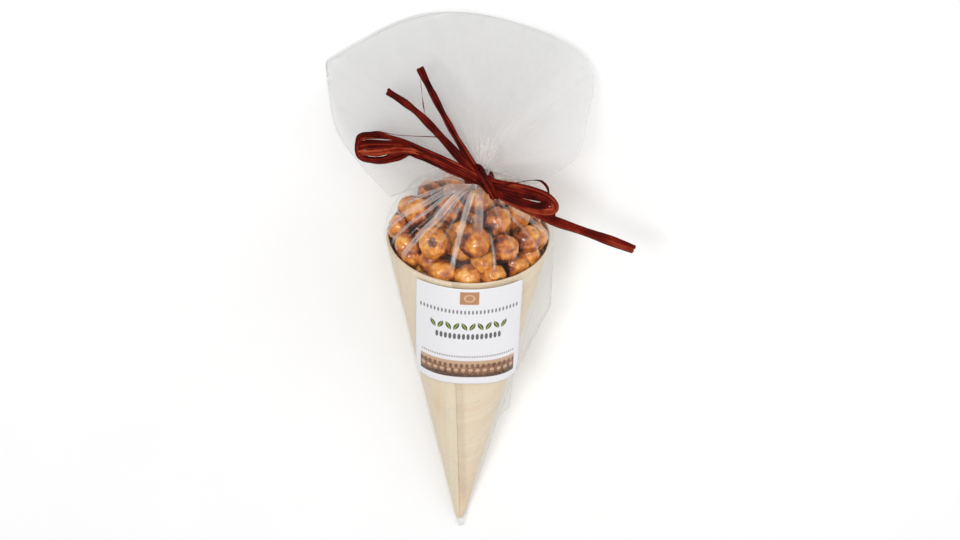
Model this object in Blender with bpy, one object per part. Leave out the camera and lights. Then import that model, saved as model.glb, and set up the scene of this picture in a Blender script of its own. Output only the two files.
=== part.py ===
"""A rolled wooden cone of caramelised hazelnuts in a clear film bag, lying on its side.

Metres, +Z up. The cone's tip points to -Y and its mouth to +Y. The side with the label faces up.
The film wraps the cone and the heap of nuts, is tied at a neck with a raffia bow, and fans out
beyond it until its far edge touches the surface that the cone lies on. The origin is at the
bottom, in the middle of the whole object's length and width.

A place on the cone is given by three distances from the point where its sides would meet:
across (to the right), up (towards the label) and along (towards the mouth). A turn round the
cone starts at its right side and goes over the top.
"""

import math
import random

import bmesh
import bpy
from mathutils import Matrix, Vector

# The wooden cone
CONE_LENGTH = 0.180
CONE_RADIUS = 0.040
CONE_START = 0.0067
VENEER = 0.0008
WOOD_FILLED_TO = 0.016
CONE_SIDES = 60
SEAM_TURN = math.radians(100)
OVERLAP_TURN = math.radians(60)
OVERLAP_FADE = math.radians(35)
SEAM_EDGE = math.radians(1)

# What every pair of neighbours keeps between them, and the flat that the bag rests on
GAP = 0.0003
REST_FLAT = 0.00025

# The film bag
FILM = 0.0006
FILM_SIDES = 56
FILM_START = 0.0022
SLEEVE_STATIONS = (0.0055, 0.040, 0.069, 0.075, 0.094, 0.106, 0.117, 0.139, 0.160, CONE_LENGTH)
FIN_EDGE = ((0.069, 0.0165), (0.075, 0.0226), (0.094, 0.0240), (0.139, 0.0412), (0.180, 0.0417))
SLACK_RIGHT = 0.0030
SLACK_LEFT = 0.0014
SLACK_MIDDLE = 0.105
SLACK_REACH = 0.035

# The heap of nuts, measured from the plane of the cone's mouth
HEAP_HEIGHT = 0.0285
HEAP_FOOT = 0.012
HEAP_BURIED = 0.0065
CORE_SIDES = 28
CORE_RISES = 5
NUT_SEGMENTS = 14
NUT_RINGS = 9
NUT_CLOSEST = 0.84
NUT_RADII = (0.0067, 0.0078)
NUT_TRIES = 420
NUT_NARROWEST = 0.93
NUT_SEED = 7
# Across, up, height above the mouth and diameter of the nuts at the front of the heap
FRONT_NUTS = (
    (-0.0164, 0.0210, 0.0103, 0.0165),
    (0.0032, 0.0240, 0.0132, 0.0160),
    (0.0137, 0.0119, 0.0175, 0.0150),
    (0.0277, 0.0120, 0.0070, 0.0150),
    (0.0238, 0.0200, -0.0030, 0.0140),
    (-0.0242, 0.0015, 0.0138, 0.0150),
    (-0.0190, -0.0100, 0.0165, 0.0140),
    (-0.0304, 0.0060, 0.0020, 0.0140),
    (-0.0265, 0.0170, 0.0000, 0.0130),
    (-0.0122, 0.0284, -0.0020, 0.0140),
    (0.0000, 0.0309, -0.0030, 0.0140),
    (0.0123, 0.0286, -0.0030, 0.0135),
    (-0.0086, 0.0057, 0.0195, 0.0145),
    (0.0051, 0.0005, 0.0205, 0.0140),
    (0.0225, 0.0030, 0.0140, 0.0145),
)

# The tied neck of the bag
NECK_ACROSS = 0.0038
NECK_ALONG = 0.2155
NECK_RADIUS = 0.0050
NECK_HALF = 0.0036
NECK_PITCH = math.radians(-6)
TENT_BREAK = 0.024
TENT_CLEARANCE = 0.0014
# Heights of the film's rings over the heap, as shares of the heap's height up to where it turns in
TENT_STATIONS = (0.24, 0.46, 0.66, 0.80)
TENT_SHIFT = 0.4
TENT_TOP_ALONG = 0.55
TENT_TOP_SLOPE = 0.58

# The fan of film beyond the neck, in a plane that tilts down towards its far edge
FAN_TILT = math.radians(24.2)
FAN_STEPS = (0.10, 0.20, 0.36, 0.54, 0.72, 0.87, 1.0)
FAN_DROOP = 0.0165
FAN_DROOP_AT = 0.085
FAN_DROOP_POWER = 1.2
# Number of pleats round the film and their depth at the far edge
FAN_PLEATS = ((7, 0.0013), (12, 0.0009))
FAN_OPENING = 0.0030
FAN_NECK_OPENING = 0.0007
FAN_NECK_BLEND = 0.22
FAN_NECK_CLEARANCE = 0.0012
FAN_SIDE_WALL = 1.6
FAN_LEAST_REACH = 0.004
FAN_OUTLINE_STEPS = 60
# Corners of the fan's outline from the neck, across and outwards, from right to left
FAN_OUTLINE = (
    (0.028, -0.0030),
    (0.048, 0.0110),
    (0.0525, 0.0300),
    (0.055, 0.0510),
    (0.043, 0.0655),
    (0.008, 0.0780),
    (-0.029, 0.0790),
    (-0.060, 0.0650),
    (-0.075, 0.0560),
    (-0.0755, 0.0480),
    (-0.070, 0.0210),
    (-0.0585, 0.0050),
    (-0.0425, -0.0110),
)

# The label on the film
LABEL_TOP = 0.178
LABEL_BOTTOM = 0.1088
LABEL_HALF_WIDTH = 0.0270
LABEL = 0.0003
LABEL_GAP = 0.0005
LABEL_COLUMNS = 12
LABEL_ROWS = 6

# The raffia bow: routes from the neck across, outwards and above the fan's plane
RAFFIA = 0.0009
TIE_INNER = 0.0054
TIE_OUTER = 0.0074
TIE_HALF = 0.0030
TIE_CREST = 0.0021
TIE_SIDES = 28
KNOT_PLACE = (0.0, -0.0026, 0.0080)
KNOT_RADII = (0.0060, 0.0032, 0.0032)
STRIP_STEPS = 2  # for each stretch between two points of a route
RAFFIA_ROUTES = {
    "long_tail": (
        0.0046,
        ((-0.001, -0.002, 0.0080), (0.0135, -0.0116, 0.0086), (0.026, -0.0191, 0.0050),
         (0.0365, -0.0228, 0.0005), (0.0558, -0.0281, -0.0085), (0.077, -0.0336, -0.0200)),
    ),
    "low_tail": (
        0.0040,
        ((0.002, -0.0030, 0.0088), (-0.0082, 0.0074, 0.0092), (-0.0193, 0.0188, 0.0070),
         (-0.0294, 0.0283, 0.0030), (-0.037, 0.0345, -0.0010), (-0.0455, 0.0402, -0.0060)),
    ),
    "high_tail": (
        0.0032,
        ((0.001, -0.0030, 0.0072), (-0.0068, 0.0108, 0.0074), (-0.0145, 0.0229, 0.0055),
         (-0.0223, 0.0364, 0.0020), (-0.0306, 0.0514, -0.0030)),
    ),
    "left_loop": (
        0.0036,
        ((0.002, -0.0020, 0.0096), (-0.0131, 0.0072, 0.0100), (-0.025, 0.0123, 0.0080),
         (-0.0364, 0.0154, 0.0050), (-0.0488, 0.0190, 0.0010), (-0.0576, 0.0176, -0.0035),
         (-0.0602, 0.0122, -0.0065), (-0.0568, 0.0068, -0.0070), (-0.0494, 0.0063, -0.0050),
         (-0.0421, 0.0098, -0.0015), (-0.0353, 0.0127, 0.0022), (-0.0239, 0.0091, 0.0052),
         (-0.0115, 0.0033, 0.0072), (0.000, -0.0030, 0.0070)),
    ),
    "right_loop": (
        0.0040,
        ((-0.001, -0.0020, 0.0092), (0.0108, -0.0041, 0.0102), (0.0231, -0.0050, 0.0095),
         (0.034, -0.0081, 0.0070), (0.0392, -0.0125, 0.0050), (0.0362, -0.0163, 0.0050),
         (0.0259, -0.0142, 0.0072), (0.0135, -0.0102, 0.0084), (0.000, -0.0035, 0.0070)),
    ),
    "thin_loop": (
        0.0014,
        ((0.001, -0.0020, 0.0092), (0.0133, -0.0038, 0.0118), (0.0206, -0.0026, 0.0122),
         (0.0279, -0.0007, 0.0112), (0.0334, -0.0037, 0.0092), (0.0352, -0.0085, 0.0066)),
    ),
}

LEAN = math.atan2(CONE_RADIUS, CONE_LENGTH)
SLEEVE_GAP = VENEER + GAP
REST_HEIGHT = (SLEEVE_GAP + FILM) * math.cos(LEAN) - REST_FLAT
FULL_TURN = 2 * math.pi
LABEL_TURN = math.radians(88)


# ---------------------------------------------------------------- places on the cone and the fan


def place(across, up, along):
    """The world position of a place on the lying cone."""
    return Vector((
        across,
        along * math.cos(LEAN) - up * math.sin(LEAN),
        along * math.sin(LEAN) + up * math.cos(LEAN) + REST_HEIGHT,
    ))


def cone_radius(along):
    """The cone's bare outer radius at this distance from its tip."""
    return along * CONE_RADIUS / CONE_LENGTH


def blend(a, b, share):
    """A value between a and b."""
    return a + (b - a) * share


def between(pairs, x):
    """Reads y at x along a line through (x, y) pairs."""
    for (x0, y0), (x1, y1) in zip(pairs, pairs[1:]):
        if x <= x1:
            return blend(y0, y1, max(0.0, (x - x0) / (x1 - x0)))
    return pairs[-1][1]


def smooth_path(points, steps):
    """Points along a smooth open curve through the given ones, evenly shared by the spans."""
    ends = [points[0] * 2 - points[1]] + list(points) + [points[-1] * 2 - points[-2]]
    path = []
    for i in range(steps + 1):
        run = i / steps * (len(points) - 1)
        k = min(int(run), len(points) - 2)
        a, b, c, d = ends[k:k + 4]
        t = run - k
        path.append(0.5 * (2 * b + (c - a) * t + (2 * a - 5 * b + 4 * c - d) * t * t
                           + (3 * b - a - 3 * c + d) * t ** 3))
    return path


NECK = place(NECK_ACROSS, 0, NECK_ALONG)
FAN_OUT = Vector((0, math.cos(FAN_TILT), -math.sin(FAN_TILT)))
FAN_UP = Vector((0, math.sin(FAN_TILT), math.cos(FAN_TILT)))


def from_neck(across, outwards, lift):
    """The world position of a place given from the neck in the fan's tilted plane."""
    return NECK + Vector((across, 0, 0)) + outwards * FAN_OUT + lift * FAN_UP


# ---------------------------------------------------------------- meshes


def material(name, colour, roughness, transmission=0.0):
    """A plain Principled material in the piece's own colour."""
    made = bpy.data.materials.new(name)
    made.use_nodes = True
    shader = made.node_tree.nodes["Principled BSDF"]
    shader.inputs["Base Color"].default_value = (*colour, 1)
    shader.inputs["Roughness"].default_value = roughness
    shader.inputs["Transmission Weight"].default_value = transmission
    return made


def face_out(mesh):
    """Turns every face of a closed mesh outwards."""
    bm = bmesh.new()
    bm.from_mesh(mesh)
    bmesh.ops.recalc_face_normals(bm, faces=bm.faces)
    bm.to_mesh(mesh)
    bm.free()
    return mesh


def add_object(name, mesh, finish):
    """Links a mesh as a named piece with its material, smooth except at its sharp edges."""
    face_out(mesh)
    mesh.shade_smooth()
    mesh.set_sharp_from_angle(angle=math.radians(40))
    mesh.materials.clear()
    mesh.materials.append(finish)
    piece = bpy.data.objects.new(name, mesh)
    bpy.context.scene.collection.objects.link(piece)
    return piece


def triangle_band(low, high):
    """Triangles between two rings of vertex numbers, always cut along the same diagonal."""
    faces = []
    for j in range(len(low)):
        k = (j + 1) % len(low)
        faces += [(low[j], low[k], high[k]), (low[j], high[k], high[j])]
    return faces


def ring_cap(ring, middle):
    """Triangles from a ring of vertex numbers to its middle."""
    return [(ring[(j + 1) % len(ring)], ring[j], middle) for j in range(len(ring))]


def shell_mesh(name, outer, inner):
    """A wall between two stacks of rings, closed at their start and open at their end."""
    points = [p for ring in outer + inner for p in ring]
    sides = len(outer[0])
    rings = [range(i * sides, (i + 1) * sides) for i in range(len(outer) + len(inner))]
    faces = []
    outside, inside = rings[:len(outer)], rings[len(outer):]
    for low, high in zip(outside, outside[1:]):
        faces += triangle_band(low, high)
    for low, high in zip(inside, inside[1:]):
        faces += [face[::-1] for face in triangle_band(low, high)]
    faces += triangle_band(outside[-1], inside[-1])
    for ring, stack, turned in ((outside[0], outer, False), (inside[0], inner, True)):
        points.append(sum(stack[0], Vector()) / sides)
        cap = ring_cap(ring, len(points) - 1)
        faces += [face[::-1] for face in cap] if turned else cap
    mesh = bpy.data.meshes.new(name)
    mesh.from_pydata(points, [], faces)
    return mesh


def tube_mesh(name, rings):
    """A solid through a stack of rings, closed at both ends."""
    sides = len(rings[0])
    numbers = [range(i * sides, (i + 1) * sides) for i in range(len(rings))]
    faces = [face for low, high in zip(numbers, numbers[1:]) for face in triangle_band(low, high)]
    points = [p for ring in rings for p in ring]
    for ring, stack, turned in ((numbers[0], rings[0], False), (numbers[-1], rings[-1], True)):
        points.append(sum(stack, Vector()) / sides)
        cap = ring_cap(ring, len(points) - 1)
        faces += [face[::-1] for face in cap] if turned else cap
    mesh = bpy.data.meshes.new(name)
    mesh.from_pydata(points, [], faces)
    return mesh


def fused(name, core, pieces, finish):
    """One solid made of a core and the pieces that sink into it."""
    group = bpy.data.collections.new(name + "_parts")
    bpy.context.scene.collection.children.link(group)
    parts = [bpy.data.objects.new(mesh.name, face_out(mesh)) for mesh in pieces]
    for part in parts:
        group.objects.link(part)
    whole = add_object(name, core, finish)
    union = whole.modifiers.new("union", "BOOLEAN")
    union.operation = "UNION"
    union.operand_type = "COLLECTION"
    union.collection = group
    union.solver = "EXACT"
    evaluated = whole.evaluated_get(bpy.context.evaluated_depsgraph_get())
    joined = bpy.data.meshes.new_from_object(evaluated)
    whole.modifiers.remove(union)
    bpy.data.objects.remove(whole)
    for part in parts:
        bpy.data.objects.remove(part)
    bpy.data.collections.remove(group)
    return add_object(name, joined, finish)


# ---------------------------------------------------------------- the wooden cone


def veneer_lift(turn):
    """How much of the veneer's thickness lies on top of the first wrap at this turn."""
    past = (turn - SEAM_TURN) % FULL_TURN
    return min(1.0, max(0.0, 1 - (past - OVERLAP_TURN) / OVERLAP_FADE))


def cone_ring(along, inset, lifted):
    """A ring round the cone at its surface or inside it, with the step of its overlap if lifted."""
    turns = [SEAM_TURN + j * FULL_TURN / CONE_SIDES for j in range(CONE_SIDES)]
    turns.append(SEAM_TURN + FULL_TURN - SEAM_EDGE)
    ring = []
    for turn in turns:
        lift = VENEER * veneer_lift(turn) if lifted else 0.0
        radius = cone_radius(along) - inset + lift
        ring.append(place(radius * math.cos(turn), radius * math.sin(turn), along))
    return ring


def make_cone(finish):
    """Rolled veneer with an overlap down its front, solid at its tip and open at its mouth."""
    outer = [cone_ring(along, 0.0, True) for along in (CONE_START, CONE_LENGTH / 2, CONE_LENGTH)]
    inner = [cone_ring(along, VENEER, False) for along in (WOOD_FILLED_TO, CONE_LENGTH / 2, CONE_LENGTH)]
    return add_object("cone", shell_mesh("cone", outer, inner), finish)


# ---------------------------------------------------------------- the nuts


def seated(across, up, height, radius):
    """A nut's place, moved in until it clears the inside of the cone."""
    along = CONE_LENGTH + min(height, 0.0)
    room = cone_radius(along) - VENEER - (radius + 2 * GAP) / math.cos(LEAN)
    out = math.hypot(across, up)
    share = min(1.0, room / out) if out else 1.0
    return Vector((across * share, up * share, height))


def heap_nuts():
    """Places and radii of the nuts on the heap, the front ones first and the rest by a spiral."""
    dice = random.Random(NUT_SEED)
    nuts = [(seated(across, up, height, wide / 2), wide / 2)
            for across, up, height, wide in FRONT_NUTS]
    for i in range(NUT_TRIES):
        radius = dice.uniform(*NUT_RADII)
        share = (i + 0.5) / NUT_TRIES
        turn = i * math.pi * (3 - math.sqrt(5))
        fall = math.acos(1 - share)
        wide = CONE_RADIUS - VENEER - radius
        spot = seated(wide * math.sin(fall) * math.cos(turn), wide * math.sin(fall) * math.sin(turn),
                      (HEAP_HEIGHT - radius) * math.cos(fall), radius)
        if all((spot - other).length > NUT_CLOSEST * (radius + its) for other, its in nuts):
            nuts.append((spot, radius))
    return nuts


def nut_mesh(number, spot, radius, dice):
    """One nut: a ball a little longer than wide, turned its own way."""
    bm = bmesh.new()
    bmesh.ops.create_uvsphere(bm, u_segments=NUT_SEGMENTS, v_segments=NUT_RINGS, radius=radius)
    turn = Matrix.Rotation(dice.uniform(0, FULL_TURN), 4, "Z") @ Matrix.Rotation(
        dice.uniform(0, math.pi), 4, "X")
    stretch = Matrix.Diagonal((dice.uniform(NUT_NARROWEST, 1), dice.uniform(NUT_NARROWEST, 1), 1, 1))
    spot = place(spot.x, spot.y, CONE_LENGTH + spot.z)
    bmesh.ops.transform(bm, verts=bm.verts, matrix=Matrix.Translation(spot) @ turn @ stretch)
    mesh = bpy.data.meshes.new(f"nut_{number:02d}")
    bm.to_mesh(mesh)
    bm.free()
    return mesh


def heap_core():
    """What fills the cone and carries the nuts that show: a cone with a low dome."""
    foot = CONE_LENGTH - HEAP_FOOT
    inset = VENEER + GAP / math.cos(LEAN)
    wide = cone_radius(foot) - inset
    tall = HEAP_FOOT + HEAP_HEIGHT - HEAP_BURIED
    start = WOOD_FILLED_TO + GAP
    profile = [(start, cone_radius(start) - inset), (foot, wide)]
    for i in range(1, CORE_RISES + 1):
        angle = i / (CORE_RISES + 0.5) * math.pi / 2
        profile.append((foot + tall * math.sin(angle), wide * math.cos(angle)))
    turns = [j * FULL_TURN / CORE_SIDES for j in range(CORE_SIDES)]
    return tube_mesh("core", [
        [place(radius * math.cos(turn), radius * math.sin(turn), along) for turn in turns]
        for along, radius in profile
    ])


def make_nuts(finish):
    """The heap: a core with every nut that shows fused on."""
    dice = random.Random(NUT_SEED + 1)
    pieces = [nut_mesh(i, spot, radius, dice) for i, (spot, radius) in enumerate(heap_nuts())]
    return fused("nuts", heap_core(), pieces, finish)


# ---------------------------------------------------------------- the film bag


def slack(along, turn):
    """How far the film stands off the cone beside the label."""
    off = turn - LABEL_TURN
    if abs(off) > math.pi / 2:
        return 0.0
    most = SLACK_LEFT if off > 0 else SLACK_RIGHT
    return most * math.exp(-((along - SLACK_MIDDLE) / SLACK_REACH) ** 2) * math.sin(2 * off) ** 2


def sleeve_radius(along, turn):
    """The film's inner radius round the cone."""
    return cone_radius(along) + SLEEVE_GAP + slack(along, turn)


def sleeve_ring(along, wall):
    """A ring of film round the cone, its sealed fin at the right on the outside."""
    ring = []
    for j in range(FILM_SIDES):
        turn = j * FULL_TURN / FILM_SIDES
        radius = sleeve_radius(along, turn) + wall
        if j == 0 and wall and along >= FIN_EDGE[0][0]:
            radius = max(radius, between(FIN_EDGE, along))
        ring.append(place(radius * math.cos(turn), radius * math.sin(turn), along))
    return ring


def tilted_ring(centre, pitch, radius):
    """A round ring of film square to a line that climbs by the pitch."""
    up = Vector((0, -math.sin(pitch), math.cos(pitch)))
    turns = [j * FULL_TURN / FILM_SIDES for j in range(FILM_SIDES)]
    return [centre + radius * (math.cos(t) * Vector((1, 0, 0)) + math.sin(t) * up) for t in turns]


def tent_rings(wall):
    """Rings over the heap: round like the heap at first, then straight in to the neck."""
    wide = cone_radius(CONE_LENGTH) + SLEEVE_GAP + wall
    tall = HEAP_HEIGHT + TENT_CLEARANCE + wall
    rings = []
    for share in TENT_STATIONS:
        centre = place(NECK_ACROSS * share * TENT_SHIFT, 0, CONE_LENGTH + share * tall)
        rings.append(tilted_ring(centre, LEAN, wide * math.sqrt(1 - share * share)))
    turned_in = place(NECK_ACROSS * TENT_SHIFT, 0, CONE_LENGTH + TENT_STATIONS[-1] * tall)
    middle = blend(turned_in, NECK, TENT_TOP_ALONG)
    pitch = blend(LEAN, NECK_PITCH, TENT_TOP_ALONG)
    rings.append(tilted_ring(middle, pitch, blend(TENT_BREAK, NECK_RADIUS, TENT_TOP_SLOPE) + wall))
    return rings


def neck_rings(wall):
    """The gathered neck, left open inside."""
    line = Vector((0, math.cos(NECK_PITCH), math.sin(NECK_PITCH)))
    radius = NECK_RADIUS - FILM + wall
    return [tilted_ring(NECK + side * NECK_HALF * line, NECK_PITCH, radius) for side in (-1, 1)]


def fan_outline():
    """The fan's outline as (turn from straight out, reach) pairs, from its left end to its right."""
    corners = [Vector((x, y)) for x, y in reversed(FAN_OUTLINE)]
    path = smooth_path(corners, FAN_OUTLINE_STEPS)
    return [(math.atan2(p.x, p.y), p.length) for p in path]


OUTLINE = fan_outline()


def fan_lift(reach, swing, share, turn):
    """How far the middle of the film lies above the fan's plane."""
    droop = FAN_DROOP * (reach / FAN_DROOP_AT) ** FAN_DROOP_POWER * (1 + math.sin(swing) ** 2)
    pleats = sum(size * math.cos(count * turn) for count, size in FAN_PLEATS)
    return share * pleats - droop


def fan_ring(share, wall):
    """A flattened ring of film at this share of the fan's reach, its front layer over its back one."""
    left, right = OUTLINE[0][0], OUTLINE[-1][0]
    rounding = min(1.0, share / FAN_NECK_BLEND)
    opening = blend(FAN_NECK_OPENING, FAN_OPENING, share) + wall
    waist = tilted_ring(Vector(), NECK_PITCH, NECK_RADIUS - FILM + wall)
    ring = []
    for j in range(FILM_SIDES):
        turn = j * FULL_TURN / FILM_SIDES
        swing = blend(right, left, min(turn, FULL_TURN - turn) / math.pi)
        reach = between(OUTLINE, swing) * share
        inset = (FILM - wall) * FAN_SIDE_WALL / max(reach, FAN_LEAST_REACH)
        swing = min(max(swing, left + inset), right - inset)
        layer = math.copysign(math.sqrt(abs(math.sin(turn))), math.sin(turn))
        if j % (FILM_SIDES // 2) == 0:
            layer = 0.0
        lift = fan_lift(reach, swing, share, turn) + layer * opening
        start = (NECK_HALF + FAN_NECK_CLEARANCE) * (1 - share)
        spread = from_neck(reach * math.sin(swing), reach * math.cos(swing) + start, lift)
        point = spread + waist[j] * (1 - rounding)
        point.z = max(point.z, FILM - wall)
        ring.append(point)
    return ring


def make_film(finish):
    """The bag as one thin wall, closed at the tip and open at the fan's far edge."""
    outer = [sleeve_ring(FILM_START, FILM)] + [sleeve_ring(along, FILM) for along in SLEEVE_STATIONS]
    inner = [sleeve_ring(along, 0.0) for along in SLEEVE_STATIONS]
    for stack, wall in ((outer, FILM), (inner, 0.0)):
        stack += tent_rings(wall) + neck_rings(wall) + [fan_ring(share, wall) for share in FAN_STEPS]
    for point in (p for ring in outer for p in ring):
        point.z = max(point.z, 0.0)
    return add_object("film_bag", shell_mesh("film_bag", outer, inner), finish)


# ---------------------------------------------------------------- the label


def turn_after(along, run):
    """The turn reached by running this far round the film from the middle of the label."""
    step = math.radians(1)
    turn, walked = LABEL_TURN, 0.0
    while walked < abs(run):
        part = min(1.0, (abs(run) - walked) / (step * sleeve_radius(along, turn)))
        turn -= math.copysign(step * part, run)
        walked += step * part * sleeve_radius(along, turn) + 1e-9
    return turn


def make_label(finish):
    """A thin sheet bent round the film below the cone's mouth."""
    sheets = []
    for height in (LABEL_GAP, LABEL_GAP + LABEL):
        for row in range(LABEL_ROWS + 1):
            along = blend(LABEL_TOP, LABEL_BOTTOM, row / LABEL_ROWS)
            for column in range(LABEL_COLUMNS + 1):
                run = blend(-LABEL_HALF_WIDTH, LABEL_HALF_WIDTH, column / LABEL_COLUMNS)
                turn = turn_after(along, run)
                radius = sleeve_radius(along, turn) + FILM + height
                sheets.append(place(radius * math.cos(turn), radius * math.sin(turn), along))
    wide, tall = LABEL_COLUMNS + 1, LABEL_ROWS + 1
    top = wide * tall
    faces = []
    for row in range(LABEL_ROWS):
        for column in range(LABEL_COLUMNS):
            a = row * wide + column
            b, c, d = a + 1, a + wide + 1, a + wide
            faces += [(a, c, b), (a, d, c), (a + top, b + top, c + top), (a + top, c + top, d + top)]
    edge = list(range(wide)) + [r * wide + wide - 1 for r in range(1, tall)]
    edge += [top - 1 - c for c in range(1, wide)] + [r * wide for r in range(tall - 2, 0, -1)]
    faces += [(a, b, b + top) for a, b in zip(edge, edge[1:] + edge[:1])]
    faces += [(a, b + top, a + top) for a, b in zip(edge, edge[1:] + edge[:1])]
    mesh = bpy.data.meshes.new("label")
    mesh.from_pydata(sheets, [], faces)
    return add_object("label", mesh, finish)


# ---------------------------------------------------------------- the raffia bow


def strip_mesh(name, width, route):
    """A flat strip of raffia along a route, lying in the fan's plane."""
    steps = STRIP_STEPS * (len(route) - 1)
    path = smooth_path([from_neck(*spot) for spot in route], steps)
    rings = []
    for i, spot in enumerate(path):
        ahead = (path[min(i + 1, steps)] - path[max(i - 1, 0)]).normalized()
        side = ahead.cross(FAN_UP).normalized() * width / 2
        thick = side.cross(ahead).normalized() * RAFFIA / 2
        rings.append([spot + side + thick, spot - side + thick, spot - side - thick, spot + side - thick])
    return tube_mesh(name, rings)


def tie_mesh():
    """The turns of raffia wound round the neck, as one band."""
    bm = bmesh.new()
    corners = [(TIE_INNER, -TIE_HALF), (TIE_OUTER, -TIE_CREST),
               (TIE_OUTER, TIE_CREST), (TIE_INNER, TIE_HALF)]
    loop = [bm.verts.new((radius, 0, height)) for radius, height in corners]
    edges = [bm.edges.new((a, b)) for a, b in zip(loop, loop[1:] + loop[:1])]
    bmesh.ops.spin(bm, geom=loop + edges, cent=(0, 0, 0), axis=(0, 0, 1), angle=FULL_TURN,
                   steps=TIE_SIDES, use_merge=True)
    bmesh.ops.remove_doubles(bm, verts=bm.verts, dist=1e-6)
    bmesh.ops.recalc_face_normals(bm, faces=bm.faces)
    lay = Matrix.Translation(NECK) @ Matrix.Rotation(NECK_PITCH - math.pi / 2, 4, "X")
    bmesh.ops.transform(bm, verts=bm.verts, matrix=lay)
    mesh = bpy.data.meshes.new("tie")
    bm.to_mesh(mesh)
    bm.free()
    return mesh


def knot_mesh():
    """The knot in front of the neck."""
    bm = bmesh.new()
    bmesh.ops.create_icosphere(bm, subdivisions=2, radius=1)
    lay = Matrix.Translation(from_neck(*KNOT_PLACE)) @ Matrix.Rotation(-FAN_TILT, 4, "X")
    bmesh.ops.transform(bm, verts=bm.verts, matrix=lay @ Matrix.Diagonal((*KNOT_RADII, 1)))
    mesh = bpy.data.meshes.new("knot")
    bm.to_mesh(mesh)
    bm.free()
    return mesh


def make_bow(finish):
    """The tie, the knot, two loops and the loose tails as one solid."""
    pieces = [strip_mesh(name, width, route) for name, (width, route) in RAFFIA_ROUTES.items()]
    return fused("raffia_bow", tie_mesh(), [knot_mesh()] + pieces, finish)


# ---------------------------------------------------------------- the whole


def centre_on_origin(pieces):
    """Moves every mesh so that the origin is at the bottom, in the middle of the whole."""
    spots = [vertex.co for piece in pieces for vertex in piece.data.vertices]
    low = Vector([min(spot[axis] for spot in spots) for axis in range(3)])
    high = Vector([max(spot[axis] for spot in spots) for axis in range(3)])
    shift = Matrix.Translation((-(low.x + high.x) / 2, -(low.y + high.y) / 2, -low.z))
    for piece in pieces:
        piece.data.transform(shift)


def main():
    """Builds every piece in an empty scene."""
    for thing in list(bpy.data.objects):
        bpy.data.objects.remove(thing)
    pieces = [
        make_cone(material("wood veneer", (0.73, 0.60, 0.42), 0.55)),
        make_nuts(material("caramelised nut", (0.50, 0.20, 0.05), 0.35)),
        make_film(material("clear film", (0.90, 0.90, 0.90), 0.08, 0.9)),
        make_label(material("white paper", (0.88, 0.87, 0.86), 0.6)),
        make_bow(material("red-brown raffia", (0.17, 0.02, 0.01), 0.45)),
    ]
    centre_on_origin(pieces)


main()
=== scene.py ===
"""The looks of a cone of caramelised hazelnuts in a clear film bag that is tied with raffia.

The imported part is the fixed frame. A rolled sheet of veneer, a heap of coated nuts, a bag of thin
film, a printed label and a bow of raffia strips stand for its solids, each with its own finish.
The cone lies on its side with its tip towards -Y and the label up, and the camera looks down on it.

A place on the cone is given across (to the right), up (towards the label) and along (from the point
where its sides would meet towards its mouth). A turn round the cone starts at its right side and
goes over the top.
"""

import logging
import math
import random
from dataclasses import dataclass, field
from enum import Enum
from typing import Any, Sequence

import bpy
import numpy as np
from mathutils import Matrix, Vector, noise


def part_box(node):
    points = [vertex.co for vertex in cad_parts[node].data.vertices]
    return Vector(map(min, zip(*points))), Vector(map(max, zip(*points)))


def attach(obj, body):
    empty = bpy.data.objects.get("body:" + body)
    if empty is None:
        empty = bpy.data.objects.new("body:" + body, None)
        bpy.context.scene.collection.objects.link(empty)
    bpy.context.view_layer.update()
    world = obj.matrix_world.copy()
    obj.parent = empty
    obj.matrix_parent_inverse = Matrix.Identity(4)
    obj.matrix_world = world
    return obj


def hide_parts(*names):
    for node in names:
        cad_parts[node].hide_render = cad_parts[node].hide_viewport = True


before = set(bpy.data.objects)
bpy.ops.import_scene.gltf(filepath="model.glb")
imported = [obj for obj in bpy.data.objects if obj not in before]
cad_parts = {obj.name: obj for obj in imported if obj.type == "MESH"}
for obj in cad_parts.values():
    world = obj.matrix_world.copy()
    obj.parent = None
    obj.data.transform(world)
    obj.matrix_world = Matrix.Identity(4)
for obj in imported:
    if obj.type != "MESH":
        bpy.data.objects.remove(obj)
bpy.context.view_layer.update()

BODY = "root"
FULL_TURN = 2 * math.pi
SIDE = np.array((1.0, 0.0, 0.0))
LOG = logging.getLogger("hazelnut_cone")

Piece = bpy.types.Object
Material = bpy.types.Material
NodeTree = bpy.types.NodeTree
Socket = bpy.types.NodeSocket
Sockets = bpy.types.bpy_prop_collection
Points = np.ndarray
Colour = tuple[float, float, float]
Place = tuple[float, float, float]
Number = float | np.ndarray
# What a node's input is fed with
Feed = float | str | Place | Socket


class Slot(Enum):
    """The record's material slots, one for each kind of piece."""

    WOOD = "wood_veneer"
    NUT = "caramelised_nut"
    FILM = "clear_film"
    PAPER = "label_paper"
    RAFFIA = "raffia"


class Kind(Enum):
    """The kinds of socket that the node groups have."""

    NUMBER = "NodeSocketFloat"
    COUNT = "NodeSocketInt"
    VECTOR = "NodeSocketVector"
    SHAPE = "NodeSocketGeometry"
    FINISH = "NodeSocketMaterial"


class Use(Enum):
    """What a node group is for."""

    SHADER = "ShaderNodeTree"
    SHAPE = "GeometryNodeTree"


# ---------------- numbers and curves


def blend(first: Number, second: Number, share: Number) -> Number:
    """A value or array between two others."""
    return first + (second - first) * share


def smooth_step(low: float, high: float, value: Number) -> Number:
    """A soft step from 0 at low to 1 at high."""
    share = np.clip((np.asarray(value, float) - low) / (high - low), 0.0, 1.0)
    return share * share * (3 - 2 * share)


def half_turned(turn: Number) -> Number:
    """The same turn between half a turn back and half a turn on."""
    return (turn + math.pi) % FULL_TURN - math.pi


def together(*parts: Number) -> Points:
    """Arrays brought to one shape and joined along a new last axis."""
    return np.stack(np.broadcast_arrays(*parts), -1)


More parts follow.
